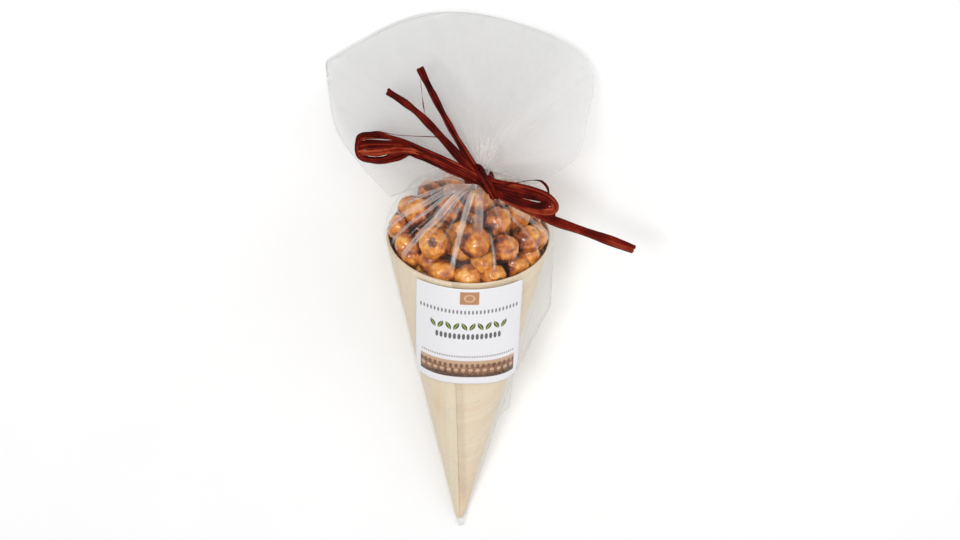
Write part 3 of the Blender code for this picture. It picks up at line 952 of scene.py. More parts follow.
@dataclass(frozen=True)
class LabelFinish(Finish):
    """White paper with plain printed shapes: a square, rows of marks, a row of leaves and a band."""

    name: str = "label_paper"
    # The label's size, the ring's and the leaves', in millimetres
    width: float = 54.0
    height: float = 69.0
    ring_middle: Place = (27.0, 62.4, 0.0)
    ring_radius: float = 2.3
    ring_half_width: float = 0.45
    leaf_space: float = 3.86
    leaf_half_length: float = 3.1
    leaf_half_width: float = 1.25
    dull: Colour = (0.80, 0.79, 0.82)
    bright: Colour = (0.86, 0.85, 0.87)
    pulp_depth: float = 0.00003
    # The middle heights and the half widths and heights of the square and the band, in shares of the label
    square_middle: float = 0.905
    square_half: tuple[float, float] = (0.085, 0.066)
    band_middle: float = 0.158
    band_half: tuple[float, float] = (0.44, 0.086)
    square: Colour = (0.50, 0.24, 0.12)
    ring: Stain = Stain((0.80, 0.58, 0.42), 0.6)
    rows: tuple[Row, ...] = (
        Row(0.757, 0.021, 29, 0.50, 0.4655, Stain((0.17, 0.15, 0.17), 0.9)),
        Row(0.500, 0.030, 25, 0.68, 0.300, Stain((0.045, 0.042, 0.040), 0.9)),
        Row(0.287, 0.011, 45, 0.55, 0.4333, Stain((0.30, 0.25, 0.25), 0.9)))
    leaf_spaces: int = 14
    leaves: int = 10
    leaf_middle: float = 0.605
    leaf_lean: float = math.radians(24)
    leaf_ink: Colour = (0.060, 0.085, 0.018)
    vein_ink: Colour = (0.42, 0.50, 0.15)
    low_sky: Colour = (0.44, 0.24, 0.14)
    high_sky: Colour = (0.62, 0.42, 0.28)
    hills: tuple[Hill, ...] = (
        Hill(0.185, 0.020, 9.0, 1.0, (0.27, 0.12, 0.065)),
        Hill(0.150, 0.018, 14.0, 2.6, (0.15, 0.055, 0.030)),
        Hill(0.112, 0.014, 11.0, 4.4, (0.030, 0.008, 0.005)))
    bushes: tuple[Row, ...] = (
        Row(0.190, 0.022, 21, 0.62, 0.44, Stain((0.085, 0.028, 0.016), 0.85)),
        Row(0.140, 0.026, 16, 0.62, 0.44, Stain((0.36, 0.19, 0.10), 0.85)),
        Row(0.146, 0.013, 16, 0.62, 0.44, Stain((0.66, 0.47, 0.33), 0.85)))
    speck_ink: Colour = (0.50, 0.30, 0.18)

    def span(self, tree: Tree, value: Socket, middle: float, half: float, soft: float = 0.004) -> Socket:
        """A mask that is 1 within half of the middle."""
        off = tree.math("ABSOLUTE", tree.minus(value, middle))
        return tree.remap(off, half - soft, half + soft, 1.0, 0.0)

    def block(self, tree: Tree, u: Socket, v: Socket, middle: float, half: Sequence[float]) -> Socket:
        """A mask of a rectangle, centred across the label at a middle height."""
        return tree.times(self.span(tree, u, 0.5, half[0]), self.span(tree, v, middle, half[1]))

    def marks(self, tree: Tree, u: Socket, v: Socket, row: Row) -> Socket:
        """A row of evenly spaced rounded marks.

        Args:
            tree: The material's tree.
            u: Map place across.
            v: Map place upwards.
            row: The row's sizes.

        Returns:
            The row's mask.
        """
        cell = tree.math("ABSOLUTE", tree.minus(tree.math("FRACT", tree.times(u, row.count)), 0.5))
        wide = tree.math("DIVIDE", cell, row.fill / 2)
        tall = tree.math("DIVIDE", tree.math("ABSOLUTE", tree.minus(v, row.middle)), row.half_height)
        off = tree.math("ADD", tree.math("POWER", wide, 2.4), tree.math("POWER", tall, 2.4))
        return tree.times(tree.remap(off, 0.8, 1.2, 1.0, 0.0), self.span(tree, u, 0.5, row.half_width))

    def values(self, tree: Tree) -> dict[str, Feed]:
        """The shader's values, which follow the label's own map.

        Args:
            tree: The material's tree.

        Returns:
            A constant or a socket for each named input.
        """
        sheet = tree.skin()
        u, v = tree.add("ShaderNodeSeparateXYZ", {0: sheet}).outputs[:2]
        pulp = tree.noise(tree.spot(), 1800.0, 4.0, 0.7)
        colour = tree.mix(tree.remap(pulp, 0.35, 0.65), self.dull, self.bright)
        square = self.block(tree, u, v, self.square_middle, self.square_half)
        true_size = tree.scaled(sheet, (self.width, self.height, 0.0))
        off = tree.vector_math("SUBTRACT", true_size, self.ring_middle)
        reach = tree.add("ShaderNodeVectorMath", {0: off}, operation="LENGTH").outputs["Value"]
        ring = self.span(tree, reach, self.ring_radius, self.ring_half_width, 0.12)
        colour = tree.mix(square, colour, tree.stained(self.square, (ring, self.ring)))
        colour = tree.stained(colour, *((self.marks(tree, u, v, row), row.ink) for row in self.rows))
        colour = self.leaf_row(tree, u, v, colour)
        band = self.block(tree, u, v, self.band_middle, self.band_half)
        return {"Base Color": tree.mix(band, colour, self.band_colour(tree, u, v)), "Roughness": 0.42,
                "Specular IOR Level": 0.45, "Normal": tree.bump(pulp, self.pulp_depth, 0.4)}

    def leaf_row(self, tree: Tree, u: Socket, v: Socket, paper: Socket) -> Socket:
        """The row of leaves that lean both ways in turn, each with a paler middle vein.

        Args:
            tree: The material's tree.
            u: Map place across.
            v: Map place upwards.
            paper: The colour under the leaves.

        Returns:
            The colour with the leaves.
        """
        run = tree.times(u, self.leaf_spaces)
        side = tree.times(tree.minus(tree.math("FRACT", run), 0.5), self.leaf_space)
        odd = tree.times_plus(tree.math("MODULO", tree.math("FLOOR", run), 2.0), 2.0, -1.0)
        x, y = tree.times(side, odd), tree.times(tree.minus(v, self.leaf_middle), self.height)
        cos, sin = math.cos(self.leaf_lean), math.sin(self.leaf_lean)
        length = tree.math("ADD", tree.times(x, sin), tree.times(y, cos))
        off = tree.math("ABSOLUTE", tree.minus(tree.times(x, cos), tree.times(y, sin)))
        share = tree.math("DIVIDE", length, self.leaf_half_length)
        wide = tree.times_plus(tree.times(share, share), -self.leaf_half_width, self.leaf_half_width)
        inside = tree.minus(wide, off)
        row = self.span(tree, u, 0.5, self.leaves / 2 / self.leaf_spaces)
        leaf = tree.times(tree.remap(inside, 0.0, 0.18), row)
        vein = tree.times(tree.remap(off, 0.10, 0.34, 1.0, 0.0), tree.remap(inside, 0.25, 0.5))
        return tree.mix(leaf, paper, tree.mix(vein, self.leaf_ink, self.vein_ink))

    def band_colour(self, tree: Tree, u: Socket, v: Socket) -> Socket:
        """The band's colours: a tan sky over rolling hills, with rows of round bushes.

        Args:
            tree: The material's tree.
            u: Map place across.
            v: Map place upwards.

        Returns:
            The band's colour.
        """
        colour = tree.mix(tree.remap(v, 0.14, 0.25), self.low_sky, self.high_sky)
        for hill in self.hills:
            wave = tree.math("SINE", tree.times_plus(u, hill.waves, hill.shift))
            fine = tree.math("SINE", tree.times_plus(u, hill.waves * 9.7, hill.shift))
            ridge = tree.times_plus(fine, hill.swell * 0.22, tree.times_plus(wave, hill.swell, hill.base))
            colour = tree.mix(tree.remap(tree.minus(ridge, v), 0.0, 0.008), colour, hill.ink)
        colour = tree.stained(colour, *((self.marks(tree, u, v, row), row.ink) for row in self.bushes))
        specks = tree.remap(tree.noise(tree.spot(), 1500.0, 2.0), 0.36, 0.64, 0.0, 0.35)
        return tree.mix(specks, colour, self.speck_ink)


@dataclass(frozen=True)
class FloorFinish(Finish):
    """A pale, even, matt surface with a trace of unevenness."""

    name: str = "pale_floor"
    dull: Colour = (0.90, 0.90, 0.90)
    bright: Colour = (0.92, 0.92, 0.92)

    def values(self, tree: Tree) -> dict[str, Feed]:
        """The shader's values."""
        colour = tree.mix(self.mottle(tree, tree.spot(), 9.0, 0.3, 0.7), self.dull, self.bright)
        return {"Base Color": colour, "Roughness": 0.85, "Specular IOR Level": 0.2}


# ---------------- the rolled cone


@dataclass
class VeneerCone:
    """A sheet of veneer rolled to a cone, its outer edge running down the front."""

    finish: Material
    veneer: float = 0.0008
    start: float = 0.0067
    filled_to: float = 0.016
    seam_turn: float = math.radians(100)
    seam_edge: float = math.radians(0.35)
    overlap: float = math.radians(60)
    fade: float = math.radians(35)
    columns: int = 360
    outer_rows: int = 110
    inner_rows: int = 30
    # How far the rows round the mouth's edge lie below it, and their shares of the way through the wall
    rounding: float = 0.0003
    edge_drops: tuple[float, ...] = (0.00008, 0.0, 0.0, 0.00008)
    edge_shares: tuple[float, ...] = (0.06, 0.28, 0.72, 0.94)
    ragged: float = 0.00012
    wave: float = 0.00008
    shade_width: float = 0.022
    shade_from: tuple[float, float] = (0.012, 0.030)
    tip_fade: tuple[float, float] = (0.012, 0.062)
    torn_depth: float = 0.020
    patch_middle: tuple[float, float] = (0.087, 0.042)
    patch_size: tuple[float, float] = (0.016, 0.014)
    sharp_angle: float = math.radians(38)

    def turns(self) -> Points:
        """Turns of the columns, the first on the seam's edge and the last just below it."""
        even = self.seam_turn + np.arange(self.columns) * FULL_TURN / self.columns
        return np.append(even, self.seam_turn + FULL_TURN - self.seam_edge)

    def lift(self, turns: Points) -> Points:
        """How much of a second layer lies on top at each turn."""
        past = (turns - self.seam_turn) % FULL_TURN
        return self.veneer * (1 - smooth_step(self.overlap, self.overlap + self.fade, past))

    def unrolled(self, along: Points, turns: Points) -> Points:
        """The places on the unrolled sheet, in metres, with the seam's edge along X.

        Args:
            along: The rows' distances from the apex, as a column.
            turns: The columns' turns.

        Returns:
            Map places with one more column than turns, so that the last face stays whole.
        """
        past = np.append(turns, turns[-1] + self.seam_edge * 0.5) - self.seam_turn
        angle = past * math.sin(LIE.lean)
        slant = along / math.cos(LIE.lean)
        return together(slant * np.cos(angle), slant * np.sin(angle))

    def stains(self, along: Points, turns: Points, depth: Points) -> dict[str, Points]:
        """Where the wood is stained, and where shade is painted on it: beside the seam and over the inner
        face.

        Args:
            along: The rows' distances from the apex, as a column.
            turns: The columns' turns.
            depth: The rows' shares of the way through the wall, as a column.

        Returns:
            For each mask's name, one number for each point.
        """
        before = (self.seam_turn - turns) % FULL_TURN * along
        under = smooth_step(self.shade_width, self.shade_width * 0.5, before)
        under = under * smooth_step(*self.shade_from, along)
        out = (1 - smooth_step(*self.tip_fade, along)) * (np.sin(turns - self.seam_turn) < 0.1)
        # The inner face is painted in shade
        inside = smooth_step(0.9, 1.0, depth) * smooth_step(LIE.length, LIE.length - 0.0012, along)
        off = [(place - middle) / size for place, middle, size in zip(
            (along, (turns - self.seam_turn) * along), self.patch_middle, self.patch_size)]
        warm = np.exp(-off[0] ** 2 - off[1] ** 2)
        masks = {"under": under, "out": out, "inside": inside + 0 * under, "warm": warm}
        return {name: mask.ravel() for name, mask in masks.items()}

    def build(self) -> Piece:
        """The cone as one closed wall, with rounded edges at its mouth.

        Returns:
            The finished piece.
        """
        turns, mouth = self.turns(), LIE.length
        edge = mouth - self.rounding
        outside, inside = (edge, self.outer_rows), (self.filled_to, self.inner_rows)
        along = np.concatenate([np.linspace(self.start, *outside), mouth - np.array(self.edge_drops),
                                np.linspace(edge, *inside)])[:, None]
        depth = np.concatenate([np.zeros(self.outer_rows), self.edge_shares, np.ones(self.inner_rows)])
        depth = depth[:, None]
        torn = smooth_step(mouth - self.torn_depth, mouth, along) * soft_noise(round_places(turns, 9.0), 4)
        wavy = soft_noise(round_places(turns, 2.2, along * 16), 2, 3.0) * np.clip(along / 0.05, 0.2, 1)
        wall = self.veneer / math.cos(LIE.lean)
        radius = LIE.bare_radius(along) - depth * wall + self.lift(turns) * (1 - depth)
        radius = radius + self.wave * np.minimum(wavy, 0.0)
        points = LIE.round_cone(along + self.ragged * torn, radius, turns)
        mesh = skin_mesh("veneer_cone", points, self.unrolled(along, turns), wrap=True, caps=(True, True),
                         flipped=True)
        mesh.set_sharp_from_angle(angle=self.sharp_angle)
        point_values(mesh, **self.stains(along, turns, depth))
        return set_down(add_piece("veneer_cone", mesh, self.finish), Slot.WOOD, "cone")


# ---------------- the nuts

Nut = tuple[Vector, float]


@dataclass
class NutHeap:
    """The heap of coated nuts over the cone's mouth. A nut is a place from the mouth and a radius."""

    finish: Material
    height: float = 0.0285
    veneer: float = 0.0008
    gap: float = 0.0003
    film_gap: float = 0.0006
    closest: float = 0.84
    radii: tuple[float, float] = (0.0067, 0.0078)
    tries: int = 420
    narrowest: float = 0.93
    seed: int = 7
    facets: int = 5
    first_scar: Place = (-0.15, 0.38, 0.92)
    overhang: float = 0.76
    heart: float = 0.012
    # The nuts inside the mouth: the height of each ring of them and how close they sit
    rings: tuple[tuple[float, float], ...] = (
        (0.0055, 0.80), (0.0015, 0.77), (-0.0025, 0.76), (-0.0070, 0.76))
    ring_tries: int = 90
    low_front: float = 0.45
    # The layer below
    layer: float = 0.0095
    layer_height: float = 0.0255
    layer_closest: float = 0.62
    # The bed: its foot below the mouth, its height and radius, its room to the wood, its lumps and its floor
    bed_foot: float = 0.0165
    bed_height: float = 0.0245
    bed_radius: float = 0.036
    bed_room: float = 0.0016
    bed_lumps: float = 0.0012
    bed_floor: tuple[float, float] = (0.030, 0.024)
    bed_rows: int = 26
    bed_columns: int = 72
    # Across, up, height above the mouth and diameter of the nuts at the front of the heap
    front: tuple[tuple[float, float, float, float], ...] = (
        (-0.0164, 0.0210, 0.0103, 0.0165),
        (0.0032, 0.0240, 0.0132, 0.0160),
        (0.0137, 0.0119, 0.0175, 0.0150),
        (0.0277, 0.0120, 0.0070, 0.0150),
        (0.0238, 0.0200, -0.0030, 0.0140),
        (-0.0242, 0.0015, 0.0138, 0.0150),
        (-0.0190, -0.0100, 0.0165, 0.0140),
        (-0.0304, 0.0060, 0.0020, 0.0140),
        (-0.0265, 0.0170, 0.0000, 0.0130),
        (-0.0122, 0.0284, -0.0020, 0.0140),
        (0.0000, 0.0309, -0.0030, 0.0140),
        (0.0123, 0.0286, -0.0030, 0.0135),
        (-0.0086, 0.0057, 0.0195, 0.0145),
        (0.0051, 0.0005, 0.0205, 0.0140),
        (0.0225, 0.0030, 0.0140, 0.0145),
        (-0.0345, 0.0020, 0.0045, 0.0135),
        (-0.0330, 0.0140, 0.0020, 0.0130),
        (0.0345, 0.0050, 0.0035, 0.0135),
        (0.0325, 0.0150, -0.0010, 0.0125),
        (0.0140, -0.0045, 0.0195, 0.0125),
    )

    def seated(self, across: float, up: float, height: float, radius: float) -> Vector:
        """A nut's place, moved in until it clears the inside of the cone.

        Args:
            across: Distance to the right.
            up: Distance towards the label.
            height: Height above the mouth.
            radius: The nut's radius.

        Returns:
            The place from the mouth's middle.
        """
        along = LIE.length + min(height, 0.0)
        reach = math.sqrt(max(radius ** 2 - max(height, 0.0) ** 2, (radius * self.overhang) ** 2))
        room = LIE.bare_radius(along) - self.veneer - (reach + 2 * self.gap) / math.cos(LIE.lean)
        out = math.hypot(across, up)
        share = min(1.0, room / out) if out else 1.0
        return Vector((across * share, up * share, height))

    def fits(self, spot: Vector, radius: float, closest: float, nuts: Sequence[Nut]) -> bool:
        """Whether a nut keeps its distance, a share of the two radii, from all others."""
        return all((spot - other).length > closest * (radius + its) for other, its in nuts)

    def dome(self, dice: random.Random, height: float, sink: float, closest: float,
             nuts: Sequence[Nut]) -> list[Nut]:
        """Adds nuts along a spiral over a dome wherever they find room.

        Args:
            dice: The seeded source of the nuts' sizes.
            height: The dome's height over its foot.
            sink: How far the dome's foot lies below the mouth.
            closest: The least distance between two nuts, as a share of their radii.
            nuts: The nuts that are there already.

        Returns:
            All nuts.
        """
        nuts = list(nuts)
        for i in range(self.tries):
            radius = dice.uniform(*self.radii)
            turn, fall = i * math.pi * (3 - math.sqrt(5)), math.acos(1 - (i + 0.5) / self.tries)
            out = (LIE.radius - self.veneer - radius) * math.sin(fall)
            spot = self.seated(out * math.cos(turn), out * math.sin(turn),
                               (height - radius) * math.cos(fall) - sink, radius)
            if self.fits(spot, radius, closest, nuts):
                nuts.append((spot, radius))
        return nuts

    def along_mouth(self, dice: random.Random, nuts: Sequence[Nut]) -> list[Nut]:
        """Adds nuts along the inside of the mouth wherever the wood would show.

        Args:
            dice: The seeded source of the nuts' sizes.
            nuts: The nuts that are there already.

        Returns:
            All nuts.
        """
        nuts = list(nuts)
        for height, closest in self.rings:
            for i in range(self.ring_tries):
                turn, radius = i * FULL_TURN / self.ring_tries + height * 100, dice.uniform(*self.radii)
                if height > 0 and math.sin(turn) > self.low_front:
                    continue
                spot = self.seated(math.cos(turn), math.sin(turn), min(height, 0.0), radius)
                spot.z = height
                if self.fits(spot, radius, closest, nuts):
                    nuts.append((spot, radius))
        return nuts

    def press_in(self, piece: Piece) -> None:
        """Moves points that stand out too far back inside the wood and under the film.

        Args:
            piece: The nuts as a plain mesh.
        """
        points = piece.data.vertices
        places = np.empty(len(points) * 3)
        points.foreach_get("co", places)
        axis = ring_axes(LIE.lean)[0]
        offset = places.reshape(-1, 3) - LIE.apex
        along = offset @ axis
        out = offset - along[:, None] * axis
        wood = LIE.bare_radius(along) - self.veneer / math.cos(LIE.lean) - self.gap
        rise = np.clip((along - LIE.length) / (self.height + self.film_gap), 0.0, 0.99)
        film = (LIE.radius + self.film_gap) * np.sqrt(1 - rise ** 2)
        room = np.where(along < LIE.length, wood, film)
        share = np.minimum(1.0, room / np.maximum(np.linalg.norm(out, axis=1), 1e-6))
        points.foreach_set("co", (LIE.apex + along[:, None] * axis + out * share[:, None]).ravel())

    def cloud(self, name: str, nuts: Sequence[Nut], seed: int) -> Piece:
        """One point for each nut, with its size, its turn, its tone and where its coat is bare.

        Args:
            name: The object's name.
            nuts: The nuts.
            seed: The seed of the turns.

        Returns:
            The object that carries the points.
        """
        dice = random.Random(seed)
        places = np.array([LIE.on_cone(spot.x, spot.y, LIE.length + spot.z) for spot, _ in nuts])
        mesh = bpy.data.meshes.new(name)
        mesh.from_pydata(places.tolist(), [], [])
        turn = [[dice.uniform(0, most) for most in (FULL_TURN, math.pi, FULL_TURN)] for _ in nuts]
        stretch = [[radius * dice.uniform(least, 1) for least in (self.narrowest, self.narrowest)] + [radius]
                   for _, radius in nuts]
        scar = np.array([[dice.gauss(0, 1) for _ in range(3)] for _ in nuts])
        scar[0] = self.first_scar
        # The open side faces away from the heap's heart; the finish paints shade on the sides turned the
        # other way
        open_side = places - LIE.on_cone(0, 0, LIE.length - self.heart)
        scar, open_side = (way / np.linalg.norm(way, axis=1, keepdims=True) for way in (scar, open_side))
        point_values(mesh, turn=np.array(turn), stretch=np.array(stretch), middle=places, scar=scar,
                     open_side=open_side, tone=np.array([dice.random() for _ in nuts]))
        return add_piece(name, mesh)

    def tree(self) -> NodeTree:
        """The geometry tree that puts a craggy coated nut on each point.

        Returns:
            The tree, with named inputs for the coat's sizes.
        """
        group, tree, given, result = new_group(
            "coated_nuts", Use.SHAPE,
            {"Geometry": (Kind.SHAPE, None), "Facets": (Kind.COUNT, 5), "Lump Size": (Kind.NUMBER, 1.9),
             "Lump Height": (Kind.NUMBER, 0.10), "Lump Warp": (Kind.NUMBER, 0.75),
             "Swell": (Kind.NUMBER, 0.30), "Grit Height": (Kind.NUMBER, 0.10),
             "Bare Share": (Kind.NUMBER, 0.935), "Bare Rise": (Kind.NUMBER, -0.035),
             "Finish": (Kind.FINISH, None)},
            {"Geometry": Kind.SHAPE})
        names = ("stretch", "turn", "seat", "middle", "scar", "open_side")
        stretch, turn, seat, middle, scar, open_side = (tree.named(name, vector=True) for name in names)
        place = tree.first("GeometryNodeInputPosition")
        ball = tree.add("GeometryNodeMeshIcoSphere", {"Radius": 1.0, "Subdivisions": given["Facets"]})
        ball = tree.store(ball.outputs["Mesh"], "seat", place, vector=True)
        nuts = tree.first("GeometryNodeInstanceOnPoints", {
            "Points": given["Geometry"], "Instance": ball, "Scale": stretch,
            "Rotation": tree.first("FunctionNodeEulerToRotation", {0: turn})})
        nuts = tree.first("GeometryNodeRealizeInstances", {"Geometry": nuts})
        own = tree.times(tree.named("tone"), 61.0)
        swell = tree.own_noise(seat, own, 1.3, 1.0).outputs[0]
        grit = tree.own_noise(seat, own, 4.2, 5.0, 0.62).outputs[0]
        warp = tree.vector(*[given["Lump Warp"]] * 3)
        bent = tree.vector_math("MULTIPLY", tree.own_noise(seat, own, 1.7, 2.0).outputs["Color"], warp)
        bent = tree.vector_math("ADD", seat, bent)
        cells = {"Vector": bent, "W": own, "Scale": given["Lump Size"], "Smoothness": 0.6}
        lumps = tree.add("ShaderNodeTexVoronoi", cells, voronoi_dimensions="4D",
                         feature="SMOOTH_F1").outputs["Distance"]
        crest = tree.minus(1.0, tree.times(lumps, 1.2), clamp=True)
        relief = tree.times_plus(crest, 0.5, tree.times(grit, 0.6))
        outwards = tree.vector_math("NORMALIZE", tree.vector_math("SUBTRACT", place, middle))
        facing = tree.times_plus(tree.minus(grit, 0.5), 0.10, tree.dot(outwards, scar))
        bare = tree.remap(facing, given["Bare Share"], tree.math("ADD", given["Bare Share"], 0.03))
        rise = tree.times(bare, given["Bare Rise"])
        for value, most in ((crest, "Lump Height"), (swell, "Swell"), (grit, "Grit Height")):
            rise = tree.times_plus(tree.minus(value, 0.5), given[most], rise)
        rise = tree.times(rise, tree.add("ShaderNodeSeparateXYZ", {0: stretch}).outputs[2])
        # shown: how far a point faces out of the heap, which the finish turns into painted shade
        for name, value in (("relief", relief), ("bare", bare), ("shown", tree.dot(outwards, open_side))):
            nuts = tree.store(nuts, name, value)
        offset = tree.sized(tree.first("GeometryNodeInputNormal"), rise)
        nuts = tree.first("GeometryNodeSetPosition", {"Geometry": nuts, "Offset": offset})
        tree.feed(result["Geometry"], tree.finished(nuts, given["Finish"]))
        return group

    def bed(self) -> Piece:
        """The mass of nuts and sugar under the layers that show, as a lumpy plug in the mouth, painted in
        deep shade.

        Returns:
            The piece, before it is handed to the frame.
        """
        fall = np.linspace(0.02, 1.0, self.bed_rows)[:, None] * math.pi / 2
        turns = np.arange(self.bed_columns) * FULL_TURN / self.bed_columns
        along = LIE.length - self.bed_foot + self.bed_height * np.cos(fall)
        radius = np.minimum(self.bed_radius * np.sin(fall), LIE.bare_radius(along) - self.bed_room)
        places = together(radius * np.cos(turns), radius * np.sin(turns), along)
        lumpy = along + self.bed_lumps * soft_noise(places * 160, 3) * np.cos(fall)
        depth, wide = self.bed_floor
        floor = LIE.round_cone(LIE.length - depth, wide, turns)[None]
        points = np.concatenate([LIE.round_cone(lumpy, radius, turns), floor])
        mesh = skin_mesh("nut_bed", points, np.zeros((self.bed_rows + 1, self.bed_columns + 1, 2)), wrap=True,
                         caps=(True, True))
        # The bed is painted in the nuts' darkest colours, as deep shade
        painted_shade_values = {"relief": 0.12, "tone": 0.0, "bare": 0.6, "shown": -1.0}
        point_values(mesh, **{name: np.array([value]) for name, value in painted_shade_values.items()})
        return add_piece("nut_bed", mesh, self.finish)

    def build(self) -> list[Piece]:
        """The nuts that show, a layer below them and the bed of nuts and sugar between them, painted in deep
        shade.

        Returns:
            The finished pieces.
        """
        dice = random.Random(self.seed)
        front = [(self.seated(*place, wide / 2), wide / 2) for *place, wide in self.front]
        top = self.dome(dice, self.height, 0.0, self.closest, front)
        rim = self.along_mouth(dice, top)
        below = self.dome(dice, self.layer_height, self.layer, self.layer_closest, rim)
        tree = self.tree()
        pieces = []
        for name, nuts, facets, seed in (("coated_nuts", top, self.facets, self.seed + 1),
                                         ("rim_nuts", rim[len(top):], self.facets, self.seed + 3),
                                         ("lower_nuts", below[len(rim):], self.facets - 1, self.seed + 2)):
            cloud = self.cloud(name + "_places", nuts, seed)
            piece = run_tree(cloud, tree, {"Facets": facets, "Finish": self.finish}, name)
            self.press_in(piece)
            pieces.append(piece)
        return [set_down(piece, Slot.NUT, "nuts") for piece in (*pieces, self.bed())]


# ---------------- the film bag


@dataclass(frozen=True)
class Fold:
    """One long fold in the tent: turns and half widths at the mouth and at the neck, and its ends."""

    mouth_turn: float
    neck_turn: float
    mouth_width: float
    neck_width: float
    strength: float = 1.0
    low: float = 0.0
    high: float = 1.0


@dataclass
class FilmBag:
    """The clear bag: a sleeve round the cone, a tent over the heap, a tied neck and a fan."""

    finish: Material
    fan_finish: Material
    film: float = 0.0006
    lowest: float = 0.00005
    sleeve_gap: float = 0.0011
    start: float = 0.0022
    # The side seam's outer edge, as distances from the apex and from the axis
    fin_edge: tuple[tuple[float, float], ...] = (
        (0.060, 0.0150), (0.069, 0.0165), (0.075, 0.0226), (0.094, 0.0240), (0.139, 0.0412), (0.180, 0.0417))
    fin_width: float = math.radians(15)
    fin_power: float = 2.2
    slack_right: float = 0.0030
    slack_left: float = 0.0014
    slack_middle: float = 0.105
    slack_reach: float = 0.035
    label_turn: float = math.radians(88)
    label_foot: float = 0.105
    # Where the sleeve begins to crumple, in radians round from the label and in metres from the apex,
    # and the end of its gathered tip
    crumples_beside: tuple[float, float] = (0.65, 0.95)
    crumples_from: tuple[float, float] = (0.010, 0.050)
    gathered_tip: tuple[float, float] = (0.005, 0.013)
    heap_height: float = 0.0285
    tent_clearance: float = 0.0014
    # Where the rings over the heap lie, as shares of its height
    dome_shares: tuple[float, ...] = (0.24, 0.46, 0.66, 0.80)
    dome_shift: float = 0.4
    # Where the tent bends in, as a share of the way from the last ring to the neck
    break_share: float = 0.55
    break_radius: float = 0.01298
    neck_radius: float = 0.0050
    neck_half: float = 0.0036
    waist_room: float = 0.0012
    waist_height: float = 0.0006
    columns: int = 420
    sleeve_rows: int = 120
    tent_rows: int = 90
    fan_rows: int = 110
    droop: float = 0.0165
    droop_at: float = 0.085
    droop_power: float = 1.2
    pleats: tuple[tuple[int, float], ...] = ((7, 0.0013), (12, 0.0009))
    opening: float = 0.0013
    neck_opening: float = 0.0007
    neck_blend: float = 0.22
    # The folds that show at the front, in degrees, metres and shares of the way from mouth to neck
    folds: tuple[Fold, ...] = (
        Fold(143, 122, 0.0013, 0.0034, 0.80, 0.04, 0.97),
        Fold(137, 112, 0.0004, 0.0009, 0.55, 0.20, 0.97),
        Fold(102, 99, 0.0010, 0.0022, 0.80, 0.10, 0.84),
        Fold(71, 72, 0.0005, 0.0008, 0.75, 0.08, 0.55),
        Fold(84, 80, 0.0014, 0.0032, 0.45, 0.44, 0.92),
        Fold(12, 40, 0.0013, 0.0026, 0.60, 0.02, 0.92),
        Fold(30, 48, 0.0007, 0.0012, 0.50, 0.00, 0.85),
        Fold(52, 60, 0.0005, 0.0009, 0.30, 0.10, 0.85),
        Fold(174, 150, 0.0020, 0.0030, 0.75, 0.00, 0.94),
        Fold(188, 166, 0.0016, 0.0022, 0.60, 0.00, 0.92),
        Fold(159, 139, 0.0010, 0.0017, 0.70, 0.03, 0.94),
        Fold(151, 128, 0.0004, 0.0008, 0.45, 0.20, 0.94),
        Fold(118, 108, 0.0005, 0.0010, 0.40, 0.25, 0.92))
    # The folds at the back, with their turns and their swing to both sides in degrees
    hidden_folds: int = 16
    hidden_seed: int = 41
    hidden_turns: tuple[float, float] = (195, 350)
    hidden_swing: float = 14
    fold_height: float = 0.0007
    gather_height: float = 0.0016
    flute_height: float = 0.0007
    crumple_height: float = 0.00035
    fan_gather_height: float = 0.0010
    crease_height: float = 0.0003
    fan_crumple: float = 0.0006
    # Corners of the fan's outline from the neck, across and outwards, from right to left
    outline: tuple[tuple[float, float], ...] = (
        (0.028, -0.0030), (0.048, 0.0110), (0.0525, 0.0300), (0.055, 0.0510), (0.043, 0.0655),
        (0.008, 0.0780), (-0.029, 0.0790), (-0.060, 0.0656), (-0.0722, 0.0590), (-0.0757, 0.0568),
        (-0.0762, 0.0545), (-0.0745, 0.0400), (-0.070, 0.0210), (-0.0585, 0.0050), (-0.0425, -0.0110))

    def turns(self) -> Points:
        """Turns of the columns, closer together at the two sides."""
        even = np.arange(self.columns) / self.columns
        return FULL_TURN * even - 0.35 * np.sin(2 * FULL_TURN * even) / 2

    def slack(self, along: Points, turns: Points) -> Points:
        """How far the film stands off the cone beside the label.

        Args:
            along: Distances from the apex.
            turns: Turns round the cone.

        Returns:
            One distance for each place.
        """
        off = half_turned(turns - self.label_turn)
        most = np.where(off > 0, self.slack_left, self.slack_right)
        bulge = most * np.exp(-((along - self.slack_middle) / self.slack_reach) ** 2) * np.sin(2 * off) ** 2
        return np.where(np.abs(off) > math.pi / 2, 0.0, bulge)

    def sleeve_radius(self, along: Points, turns: Points) -> Points:
        """The film's inner radius round the cone."""
        return LIE.bare_radius(along) + self.sleeve_gap + self.slack(along, turns)

    def ridges(self, turns: Points, count: int, seed: float, sharp: float = 2.0) -> Points:
        """Uneven pleats round the film, about count in a full turn, 1 on their crests and 0 between."""
        return crests(round_places(turns, count / FULL_TURN * 1.6), 2, seed, 2.6, sharp)

